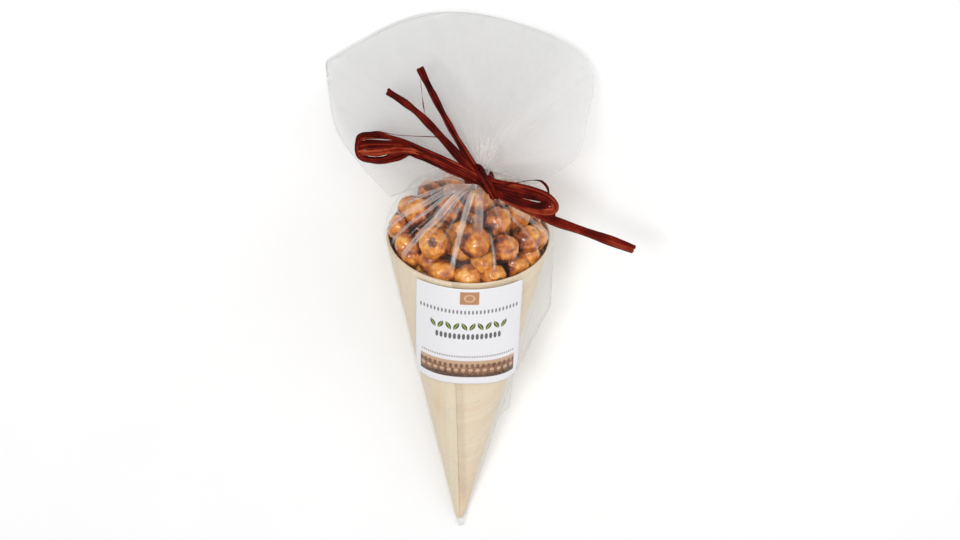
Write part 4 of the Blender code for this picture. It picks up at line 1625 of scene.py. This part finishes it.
    def sleeve(self) -> tuple[Points, Points, Points]:
        """The part round the cone.

        Returns:
            Rows of places, how folded they are and how sealed they are.
        """
        turns = self.turns()
        along = np.linspace(self.start, LIE.length, self.sleeve_rows)[:, None]
        smooth = self.sleeve_radius(along, turns) + self.film * 0.5
        fin_along, fin_radius = np.array(self.fin_edge).T
        reach = np.where(along < fin_along[0], 0.0, np.interp(along, fin_along, fin_radius))
        pinch = np.clip(1 - np.abs(half_turned(turns)) / self.fin_width, 0, 1) ** self.fin_power
        radius = smooth + np.maximum(reach - smooth, 0.0) * pinch
        crumple = crests(round_places(turns, 1.4, along * 30), 3, 5.0, 4.0)
        from_label = np.abs(half_turned(turns - self.label_turn))
        free = np.where(along > self.label_foot, smooth_step(*self.crumples_beside, from_label), 1.0)
        crumple = crumple * free * smooth_step(*self.crumples_from, along)
        radius = radius + self.crumple_height * crumple
        fold = 0.10 * crumple + 0.25 * pinch * (reach > radius - 0.004)
        fold = fold + 0.6 * (1 - smooth_step(*self.gathered_tip, along))
        seal = smooth_step(0.75, 0.9, pinch) * (reach > LIE.bare_radius(along) + 0.003)
        return LIE.round_cone(along, radius, turns), fold, seal

    def tent(self) -> tuple[Points, Points, Points]:
        """The part over the heap and the gathered neck.

        Returns:
            Rows of places, how folded they are and how sealed they are.
        """
        film = self.film * 0.5
        wide = LIE.bare_radius(LIE.length) + self.sleeve_gap + film
        tall = self.heap_height + self.tent_clearance + film
        shift = LIE.neck_across * self.dome_shift
        # Each ring's middle, pitch and radius
        keys = [[*LIE.on_cone(0, 0, LIE.length), LIE.lean, wide]]
        for share in self.dome_shares:
            middle = LIE.on_cone(share * shift, 0, LIE.length + share * tall)
            keys.append([*middle, LIE.lean, wide * math.sqrt(1 - share * share)])
        turned_in = LIE.on_cone(shift, 0, LIE.length + self.dome_shares[-1] * tall)
        keys.append([*blend(turned_in, LIE.neck, self.break_share),
                     blend(LIE.lean, LIE.neck_pitch, self.break_share), self.break_radius + film])
        line = ring_axes(LIE.neck_pitch)[0]
        for side in (-1, 1):
            keys.append([*(LIE.neck + side * self.neck_half * line), LIE.neck_pitch, self.neck_radius - film])
        path = smooth_path(keys, self.tent_rows)
        middles, pitches, radii = path[:, None, :3], path[:, 3:4], path[:, 4:]
        turns = self.turns()
        climb = np.linspace(0, 1, self.tent_rows + 1)[:, None]
        long_fold = self.long_folds(turns, climb, radii)
        gather = self.ridges(turns, 26, 2.0) * smooth_step(0.50, 0.95, climb)
        flutes = self.ridges(turns, 46, 8.0) * smooth_step(0.62, 0.95, climb)
        crumple = crests(round_places(turns, 3.0, climb * 2.2), 3, 11.0, 4.5) * smooth_step(0.0, 0.1, climb)
        pleats = (self.gather_height * gather + self.flute_height * flutes) * (radii / radii[0]) ** 0.4
        radius = radii + self.fold_height * long_fold + pleats + self.crumple_height * crumple
        points = middles + radius[..., None] * round_ring(turns, ring_axes(pitches)[1])
        milky = 0.17 * smooth_step(0.35, 0.92, climb) + 0.4 * smooth_step(0.90, 0.96, climb)
        fold = np.clip(long_fold + gather * 0.32 + flutes * 0.25 + crumple * 0.07 + milky, 0, 1)
        return points[1:], fold[1:], np.zeros_like(fold[1:])

    def long_folds(self, turns: Points, climb: Points, radii: Points) -> Points:
        """The bands of folded film that run down from the neck.

        Args:
            turns: The columns' turns.
            climb: The rows' shares of the way from the mouth to the neck, as a column.
            radii: The rows' radii, as a column.

        Returns:
            How strongly each point is folded.
        """
        dice = random.Random(self.hidden_seed)
        folds = list(self.folds)
        for _ in range(self.hidden_folds):
            turn, low = dice.uniform(*self.hidden_turns), dice.uniform(0.0, 0.35)
            across = turn + dice.uniform(-self.hidden_swing, self.hidden_swing)
            widths = dice.uniform(0.0004, 0.0012), dice.uniform(0.0006, 0.0022)
            strength, high = dice.uniform(0.3, 0.8), dice.uniform(0.8, 1.0)
            folds.append(Fold(turn, across, *widths, strength, low, high))
        total = np.zeros((climb.shape[0], turns.shape[0]))
        for fold in folds:
            off = half_turned(turns - np.radians(blend(fold.mouth_turn, fold.neck_turn, climb)))
            share = np.abs(off) * radii / blend(fold.mouth_width, fold.neck_width, climb)
            ends = smooth_step(fold.low, fold.low + 0.14, climb)
            ends = ends * smooth_step(fold.high, fold.high - 0.12, climb)
            body = 0.62 + 0.38 * np.exp(-((share - 0.62) / 0.20) ** 2)
            total = np.maximum(total, fold.strength * body * (1 - smooth_step(0.55, 1.15, share)) * ends)
        return total

    def fan(self) -> tuple[Points, Points, Points]:
        """The open end beyond the neck: a front and a back layer that meet at both sides.

        Returns:
            Rows of places, how folded they are and how sealed they are.
        """
        film = self.film * 0.5
        path = smooth_path(self.outline[::-1], 120)
        swings, reaches = np.arctan2(path[:, 0], path[:, 1]), np.hypot(path[:, 0], path[:, 1])
        turns = self.turns()
        share = (np.linspace(0, 1, self.fan_rows + 1)[1:] ** 1.25)[:, None]
        swing = blend(swings[-1], swings[0], np.minimum(turns, FULL_TURN - turns) / math.pi)
        reach = np.interp(swing, swings, reaches) * share
        across, outwards = reach * np.sin(swing), reach * np.cos(swing)
        layer = np.sign(np.sin(turns)) * np.sqrt(np.abs(np.sin(turns)))
        opening = blend(self.neck_opening, self.opening, share) + film
        droop = self.droop * (reach / self.droop_at) ** self.droop_power * (1 + np.sin(swing) ** 2)
        waves = sum(size * np.cos(count * turns) for count, size in self.pleats)
        gather = self.ridges(turns, 30, 4.0) * np.exp(-((share - 0.10) / 0.20) ** 2)
        creases = self.ridges(turns, 16, 6.0, 3.0)
        off_side = np.abs(np.sin(turns))
        side = smooth_step(0.0, 0.18, off_side)
        crumple = soft_noise(together(across * 34, outwards * 34, layer * 3), 3, 9.0)
        relief = self.fan_gather_height * gather + self.crease_height * creases * share
        lift = share * waves - droop + layer * (opening + relief * side)
        lift = lift + self.fan_crumple * crumple * share * side
        start = (self.neck_half + self.waist_room) * (1 - share)
        up = ring_axes(LIE.neck_pitch)[1]
        radius = self.neck_radius - film + self.waist_height * self.ridges(turns, 44, 8.0)
        waist = radius[:, None] * round_ring(turns, up)
        rounding = np.minimum(1.0, share / self.neck_blend)[..., None]
        points = LIE.from_neck(across, outwards + start, lift) + waist * (1 - rounding)
        # Near the neck the fan is hazier and whiter: partly the gathered film, partly painted light over the
        # shadow on the floor below
        neck_haze_and_painted_light = 0.25 * np.exp(-(share / 0.12) ** 2) + 0.38 * np.exp(-(share / 0.45) ** 2)
        fold = np.clip(gather * 0.26 + 0.12 * creases + neck_haze_and_painted_light, 0, 1)
        seal = np.maximum(smooth_step(0.985, 0.997, share), 0.6 * (1 - smooth_step(0.0, 0.03, off_side)))
        return points, fold, seal

    def skin(self, name: str, finish: Material, closed_start: bool,
             *parts: tuple[Points, Points, Points]) -> Piece:
        """One sheet of film over some parts that follow each other.

        Args:
            name: The piece's name.
            finish: The film's material.
            closed_start: Whether the first row is closed to its middle.
            parts: Rows of places, folds and seals of each part.

        Returns:
            The finished piece.
        """
        points, fold, seal = (np.concatenate([part[k] for part in parts]) for k in range(3))
        points[..., 2] = np.maximum(points[..., 2], self.lowest)
        rows, columns = points.shape[:2]
        uv = together(np.linspace(0, 1, columns + 1), np.linspace(0, 1, rows)[:, None])
        mesh = skin_mesh(name, points, uv, wrap=True, caps=(closed_start, False), flipped=True)
        point_values(mesh, fold=fold.ravel(), seal=seal.ravel())
        return set_down(add_piece(name, mesh, finish), Slot.FILM, "film_bag")

    def build(self) -> list[Piece]:
        """The bag as two sheets that meet inside the tie."""
        return [self.skin("film_sleeve", self.finish, True, self.sleeve(), self.tent()),
                self.skin("film_fan", self.fan_finish, False, self.fan())]


# ---------------- the label


@dataclass
class Label:
    """A sheet of paper bent round the film below the cone's mouth."""

    finish: Material
    bag: FilmBag
    top: float = 0.178
    bottom: float = 0.1088
    half_width: float = 0.0270
    thickness: float = 0.00014
    gap: float = 0.0005
    curl: float = 0.0002
    columns: int = 120
    rows: int = 100
    searched: float = 1.4
    search_steps: int = 400

    def turns_at(self, along: float) -> Points:
        """The turns of one row's columns, evenly spaced over the film.

        Args:
            along: The row's distance from the apex.

        Returns:
            One turn for each column.
        """
        middle = self.bag.label_turn
        turns = np.linspace(middle + self.searched, middle - self.searched, self.search_steps)
        radius = self.bag.sleeve_radius(np.array([along]), turns)
        run = np.concatenate([[0], np.cumsum((radius[1:] + radius[:-1]) / 2 * (turns[0] - turns[1]))])
        run -= np.interp(-middle, -turns, run)
        return np.interp(np.linspace(-self.half_width, self.half_width, self.columns + 1), run, turns)

    def build(self) -> Piece:
        """The label with its thickness and its print's map.

        Returns:
            The finished piece.
        """
        along = np.linspace(self.bottom, self.top, self.rows + 1)[:, None]
        turns = np.stack([self.turns_at(row) for row in along[:, 0]])
        across = np.linspace(0, 1, self.columns + 1)
        curled = self.curl * (smooth_step(0.93, 1, across) + smooth_step(0.07, 0, across))
        radius = self.bag.sleeve_radius(along, turns) + self.bag.film + self.gap + curled
        uv = together(across, np.linspace(0, 1, self.rows + 1)[:, None])
        mesh = skin_mesh("label_sheet", LIE.round_cone(along, radius, turns), uv)
        piece = add_piece("label_sheet_flat", mesh, self.finish)
        paper = piece.modifiers.new("paper", "SOLIDIFY")
        paper.thickness = self.thickness
        paper.offset = 1.0
        return set_down(as_plain_mesh(piece, "label_sheet"), Slot.PAPER, "label")


# ---------------- the raffia bow


@dataclass(frozen=True)
class Strip:
    """One strip of raffia: its width, its twist in turns and its route from the neck."""

    width: float
    twist: float
    tone: float
    route: tuple[Place, ...]


@dataclass
class RaffiaBow:
    """Strips of raffia tied round the neck, with loops to both sides and loose tails."""

    finish: Material
    tie_radius: float = 0.0060
    tie_turns: int = 5
    tie_spread: float = 0.0022
    tie_lean: float = 0.0012
    tie_growth: float = 0.00022
    tie_half_width: float = 0.0011
    tie_tone: float = 0.35
    steps: int = 12
    strips: tuple[Strip, ...] = (
        Strip(0.0049, 0.02, 0.72, (
            (0.0040, -0.0042, 0.0080), (0.0130, -0.0100, 0.0086), (0.0259, -0.0158, 0.0052),
            (0.0380, -0.0208, 0.0005), (0.0575, -0.0268, -0.0085), (0.0772, -0.0333, -0.0195))),
        Strip(0.0042, 0.03, 0.04, (
            (0.0062, -0.0070, 0.0086), (-0.0082, 0.0078, 0.0094), (-0.0194, 0.0194, 0.0070),
            (-0.0294, 0.0290, 0.0030), (-0.0370, 0.0348, -0.0010), (-0.0457, 0.0402, -0.0060))),
        Strip(0.0036, 0.04, 0.00, (
            (0.0056, -0.0068, 0.0076), (-0.0071, 0.0120, 0.0076), (-0.0140, 0.0229, 0.0055),
            (-0.0190, 0.0315, 0.0032), (-0.0249, 0.0422, 0.0006), (-0.0301, 0.0522, -0.0030))),
        Strip(0.0030, 0.03, 0.36, (
            (0.0030, -0.0016, 0.0096), (-0.0140, 0.0064, 0.0100), (-0.0265, 0.0117, 0.0080),
            (-0.0364, 0.0158, 0.0050), (-0.0448, 0.0180, 0.0020), (-0.0527, 0.0188, -0.0015),
            (-0.0577, 0.0180, -0.0045), (-0.0590, 0.0148, -0.0062), (-0.0591, 0.0108, -0.0070),
            (-0.0574, 0.0078, -0.0076), (-0.0529, 0.0066, -0.0068), (-0.0460, 0.0073, -0.0040),
            (-0.0397, 0.0101, 0.0000), (-0.0328, 0.0108, 0.0034), (-0.0239, 0.0073, 0.0054),
            (-0.0129, 0.0018, 0.0070), (0.0034, -0.0036, 0.0074))),
        Strip(0.0050, 0.04, 0.55, (
            (0.0036, -0.0024, 0.0090), (-0.0130, 0.0040, 0.0088), (-0.0239, 0.0092, 0.0070),
            (-0.0310, 0.0120, 0.0052), (-0.0370, 0.0136, 0.0028), (-0.0437, 0.0141, 0.0000),
            (-0.0506, 0.0140, -0.0030), (-0.0565, 0.0134, -0.0058), (-0.0594, 0.0120, -0.0082))),
        Strip(0.0034, 0.04, 0.95, (
            (-0.0190, 0.0068, 0.0062), (-0.0290, 0.0108, 0.0056), (-0.0368, 0.0118, 0.0042),
            (-0.0430, 0.0112, 0.0014), (-0.0490, 0.0101, -0.0018), (-0.0545, 0.0098, -0.0046),
            (-0.0586, 0.0098, -0.0078))),
        Strip(0.0016, 0.05, 0.60, (
            (-0.0210, 0.0084, 0.0064), (-0.0290, 0.0118, 0.0058), (-0.0352, 0.0150, 0.0048),
            (-0.0420, 0.0172, 0.0020), (-0.0500, 0.0176, -0.0014), (-0.0566, 0.0166, -0.0050),
            (-0.0592, 0.0150, -0.0074))),
        Strip(0.0036, 0.08, 0.02, (
            (-0.0310, 0.0122, 0.0030), (-0.0352, 0.0104, 0.0006), (-0.0400, 0.0082, -0.0022),
            (-0.0464, 0.0064, -0.0056), (-0.0530, 0.0066, -0.0076), (-0.0576, 0.0090, -0.0082),
            (-0.0592, 0.0126, -0.0078), (-0.0584, 0.0166, -0.0060))),
        Strip(0.0030, 0.05, 0.10, (
            (0.0040, -0.0044, 0.0084), (-0.0120, 0.0022, 0.0078), (-0.0235, 0.0064, 0.0060),
            (-0.0316, 0.0096, 0.0040), (-0.0352, 0.0112, 0.0020))),
        Strip(0.0046, 0.04, 0.70, (
            (0.0026, -0.0012, 0.0094), (0.0088, -0.0034, 0.0104), (0.0207, -0.0050, 0.0097),
            (0.0318, -0.0084, 0.0074), (0.0374, -0.0126, 0.0054), (0.0366, -0.0158, 0.0050),
            (0.0290, -0.0156, 0.0066), (0.0184, -0.0118, 0.0082), (0.0084, -0.0068, 0.0080),
            (0.0034, -0.0046, 0.0072))),
        Strip(0.0038, 0.06, 0.18, (
            (0.0034, -0.0026, 0.0090), (0.0125, -0.0058, 0.0108), (0.0240, -0.0082, 0.0106),
            (0.0315, -0.0100, 0.0090), (0.0336, -0.0122, 0.0082), (0.0300, -0.0134, 0.0086),
            (0.0205, -0.0116, 0.0098), (0.0109, -0.0080, 0.0096), (0.0040, -0.0046, 0.0082))),
        Strip(0.0044, 0.05, 0.15, (
            (0.0044, -0.0054, 0.0074), (0.0109, -0.0086, 0.0072), (0.0234, -0.0148, 0.0046),
            (0.0323, -0.0174, 0.0030), (0.0382, -0.0176, 0.0030))),
        Strip(0.0014, 0.2, 0.0, (
            (0.0036, -0.0024, 0.0096), (0.0108, -0.0040, 0.0116), (0.0201, -0.0022, 0.0124),
            (0.0260, -0.0010, 0.0120), (0.0309, -0.0016, 0.0108), (0.0340, -0.0047, 0.0090),
            (0.0348, -0.0086, 0.0066))),
        Strip(0.0006, 0.3, 0.4, (
            (-0.0300, 0.0512, -0.0020), (-0.0286, 0.0396, 0.0010), (-0.0271, 0.0313, 0.0034),
            (-0.0252, 0.0262, 0.0052))),
        Strip(0.0009, 0.3, 0.5, (
            (-0.0600, 0.0130, -0.0060), (-0.0588, 0.0178, -0.0046), (-0.0498, 0.0203, 0.0000),
            (-0.0390, 0.0190, 0.0040), (-0.0213, 0.0187, 0.0078), (-0.0180, 0.0184, 0.0084))),
        Strip(0.0044, 0.0, 0.10, (
            (-0.0010, 0.0046, -0.0010), (-0.0008, 0.0050, 0.0050), (0.0002, 0.0034, 0.0106),
            (0.0030, -0.0008, 0.0126), (0.0058, -0.0056, 0.0116), (0.0082, -0.0100, 0.0092),
            (0.0086, -0.0108, 0.0056))),
    )

    def wraps(self) -> list[Points]:
        """The turns round the neck.

        Returns:
            Each turn's world points.
        """
        line, up = ring_axes(LIE.neck_pitch)
        turns = np.linspace(0, FULL_TURN * 1.02, 60)
        wraps = []
        for number in range(self.tie_turns):
            along = self.tie_spread * (2 * number / (self.tie_turns - 1) - 1)
            lean = self.tie_lean * np.sin(turns + number * 1.3)
            radius = self.tie_radius + self.tie_growth * number
            wraps.append(LIE.neck + line * (along + lean)[:, None] + radius * round_ring(turns, up))
        return wraps

    def routes(self) -> Piece:
        """All strips' middle lines as edges whose points carry half the width, the tilt and the tone.

        Returns:
            The object that carries them.
        """
        lines = []
        for number, strip in enumerate(self.strips):
            spots = [LIE.from_neck(*spot) for spot in strip.route]
            path = smooth_path(spots, self.steps * (len(spots) - 1))
            share = np.linspace(0, 1, len(path))
            width = strip.width / 2 * (1 + 0.10 * np.sin(share * 23 + number * 2.1))
            lines.append((path, width, strip.twist * FULL_TURN * np.sin(share * 5.1 + number), strip.tone))
        lines += [(path, self.tie_half_width, math.pi / 2, self.tie_tone) for path in self.wraps()]
        places, edges = [], []
        for path, *_ in lines:
            edges += [(len(places) + i, len(places) + i + 1) for i in range(len(path) - 1)]
            places += path.tolist()
        mesh = bpy.data.meshes.new("raffia_routes")
        mesh.from_pydata(places, edges, [])
        for k, name in enumerate(("half", "tilted", "tone"), 1):
            point_values(mesh, **{name: np.concatenate([line[k] + np.zeros(len(line[0])) for line in lines])})
        return add_piece("raffia_routes", mesh)

    def tree(self) -> NodeTree:
        """The geometry tree that lays a crumpled flat strip along each curve.

        Returns:
            The tree, with named inputs for the strips' sizes.
        """
        group, tree, given, result = new_group(
            "raffia_strips", Use.SHAPE,
            {"Geometry": (Kind.SHAPE, None), "Step": (Kind.NUMBER, 0.0006), "Sides": (Kind.COUNT, 22),
             "Flatness": (Kind.NUMBER, 0.055), "Fold Depth": (Kind.NUMBER, 0.20), "Folds": (Kind.NUMBER, 6.6),
             "Crumple": (Kind.NUMBER, 0.0004), "Seed": (Kind.COUNT, 3), "Finish": (Kind.FINISH, None)},
            {"Geometry": Kind.SHAPE})
        lines = tree.first("GeometryNodeMeshToCurve", {"Mesh": given["Geometry"]})
        lines = tree.first("GeometryNodeSetCurveNormal", {"Curve": lines}, mode="Z_UP")
        lines = tree.first("GeometryNodeSetCurveRadius", {"Curve": lines, "Radius": tree.named("half")})
        lines = tree.first("GeometryNodeSetCurveTilt", {"Curve": lines, "Tilt": tree.named("tilted")})
        lines = tree.first("GeometryNodeResampleCurve", {"Curve": lines, "Length": given["Step"]},
                           mode="LENGTH")
        number = tree.add("GeometryNodeCurveOfPoint").outputs["Curve Index"]
        strand = tree.add("FunctionNodeRandomValue", {"ID": number, "Seed": given["Seed"]}, data_type="FLOAT")
        lines = tree.store(lines, "along", tree.add("GeometryNodeSplineParameter").outputs["Length"])
        lines = tree.store(lines, "strand", strand.outputs[1])
        lines = tree.store(lines, "lift", tree.first("GeometryNodeInputNormal"), vector=True)
        loop = tree.first("GeometryNodeCurvePrimitiveCircle", {"Resolution": given["Sides"], "Radius": 1.0},
                          mode="RADIUS")
        place = tree.first("GeometryNodeInputPosition")
        side, height = tree.add("ShaderNodeSeparateXYZ", {0: place}).outputs[:2]
        loop = tree.store(loop, "across", side)
        wave = tree.times(tree.math("COSINE", tree.times(side, given["Folds"])), given["Fold Depth"])
        flat = tree.vector(side, tree.times_plus(height, given["Flatness"], wave))
        loop = tree.first("GeometryNodeSetPosition", {"Geometry": loop, "Position": flat})
        strips = tree.first("GeometryNodeCurveToMesh", {
            "Curve": lines, "Profile Curve": loop, "Fill Caps": True,
            "Scale": tree.first("GeometryNodeInputRadius")})
        where = tree.vector(*(tree.times(tree.named(name), count)
                              for name, count in (("along", 90.0), ("across", 1.1), ("strand", 50.0))))
        crumple = tree.times(tree.minus(tree.noise(where, 1.0, 2.0), 0.5), given["Crumple"])
        offset = tree.sized(tree.named("lift", vector=True), crumple)
        strips = tree.first("GeometryNodeSetPosition", {"Geometry": strips, "Offset": offset})
        tree.feed(result["Geometry"], tree.finished(strips, given["Finish"]))
        return group

    def build(self) -> Piece:
        """All strips as one piece."""
        piece = run_tree(self.routes(), self.tree(), {"Finish": self.finish}, "raffia_strips")
        return set_down(piece, Slot.RAFFIA, "raffia_bow")


# ---------------- the studio


@dataclass(frozen=True)
class Lamp:
    """A soft square light: its name, its place, its side in metres and its power in watts."""

    name: str
    place: Place
    size: float
    power: float


@dataclass
class Studio:
    """The floor, the lights and the camera at the photograph's angle."""

    floor_finish: Material
    camera_distance: float = 7.0
    millimetres_per_pixel: float = 0.491
    frame_width: int = 960
    sensor: float = 36.0
    farthest: float = 100.0
    image_lean: float = math.radians(1.7)
    axis_to_image: float = math.radians(36.7)
    centre_across: float = 0.00604
    centre_up: float = 0.1274
    centre_depth: float = 0.070
    floor_half: float = 20.0
    world_light: float = 0.43
    lit_place: Place = (0.0, 0.0, 0.03)
    lamps: tuple[Lamp, ...] = (
        Lamp("key", (-0.40, 0.55, 1.5), 0.40, 8.0), Lamp("top", (0.05, 0.60, 1.7), 1.6, 11.0),
        Lamp("fill", (1.2, 0.3, 1.0), 1.0, 4.5), Lamp("front", (-0.1, -1.2, 1.2), 1.0, 3.5))

    def add_floor(self) -> None:
        """The pale floor, which is only for the picture."""
        half = self.floor_half
        corners = np.array([[[-half, -half, 0], [half, -half, 0]], [[-half, half, 0], [half, half, 0]]])
        add_piece("floor", skin_mesh("floor", corners, np.zeros((2, 3, 2))), self.floor_finish)

    def add_camera(self) -> None:
        """The camera, far off with a long lens, so that the view is nearly parallel."""
        tilt, lean = self.axis_to_image - LIE.lean, self.image_lean
        towards = Vector((0, math.sin(tilt), math.cos(tilt)))
        plan_up, side = Vector((0, math.cos(tilt), -math.sin(tilt))), Vector(SIDE)
        right = math.cos(lean) * side + math.sin(lean) * plan_up
        up = math.cos(lean) * plan_up - math.sin(lean) * side
        aim = Vector(LIE.apex) + self.centre_across * side + self.centre_up * plan_up
        aim += self.centre_depth * towards
        data = bpy.data.cameras.new("camera")
        data.sensor_width = self.sensor
        seen = self.millimetres_per_pixel / 1000 * self.frame_width
        data.lens = self.sensor * self.camera_distance / seen
        data.clip_end = self.farthest
        camera = bpy.data.objects.new("camera", data)
        turn = Matrix((right, up, towards)).transposed().to_4x4()
        camera.matrix_world = Matrix.Translation(aim + self.camera_distance * towards) @ turn
        bpy.context.scene.collection.objects.link(camera)
        bpy.context.scene.camera = camera

    def add_lamp(self, lamp: Lamp) -> None:
        """Adds a light that faces the lit place.

        Args:
            lamp: The light's sizes.
        """
        data = bpy.data.lights.new(lamp.name, "AREA")
        data.size = lamp.size
        data.energy = lamp.power
        light = bpy.data.objects.new(lamp.name, data)
        light.location = lamp.place
        way = Vector(self.lit_place) - Vector(lamp.place)
        light.rotation_euler = way.to_track_quat("-Z", "Y").to_euler()
        bpy.context.scene.collection.objects.link(light)

    def build(self) -> None:
        """Sets up the floor, the lights, the world and the camera."""
        self.add_floor()
        for lamp in self.lamps:
            self.add_lamp(lamp)
        world = bpy.data.worlds.new("studio")
        world.use_nodes = True
        sky = world.node_tree.nodes["Background"].inputs
        sky["Color"].default_value = (1.0, 1.0, 1.0, 1.0)
        sky["Strength"].default_value = self.world_light
        bpy.context.scene.world = world
        bpy.context.scene.view_settings.view_transform = "Standard"
        self.add_camera()


def main() -> None:
    """Builds every piece, reports it, and sets up the studio."""
    logging.basicConfig(level=logging.INFO, format="%(name)s: %(message)s")
    effects = Effects()
    pieces = [VeneerCone(VeneerFinish(effects).build()).build()]
    pieces += NutHeap(NutFinish(effects).build()).build()
    fan_film = FilmFinish(effects, "clear_film_fan", haze=0.155, fold_haze=0.34, whitening=1.0,
                          tint=(0.59, 0.60, 0.59))
    bag = FilmBag(FilmFinish(effects).build(), fan_film.build())
    pieces += bag.build()
    pieces.append(Label(LabelFinish(effects).build(), bag).build())
    pieces.append(RaffiaBow(RaffiaFinish(effects).build()).build())
    for piece in pieces:
        piece.data.calc_loop_triangles()
        LOG.info("%s: %d triangles", piece.name, len(piece.data.loop_triangles))
    Studio(FloorFinish(effects).build()).build()


if __name__ == "__main__":
    main()
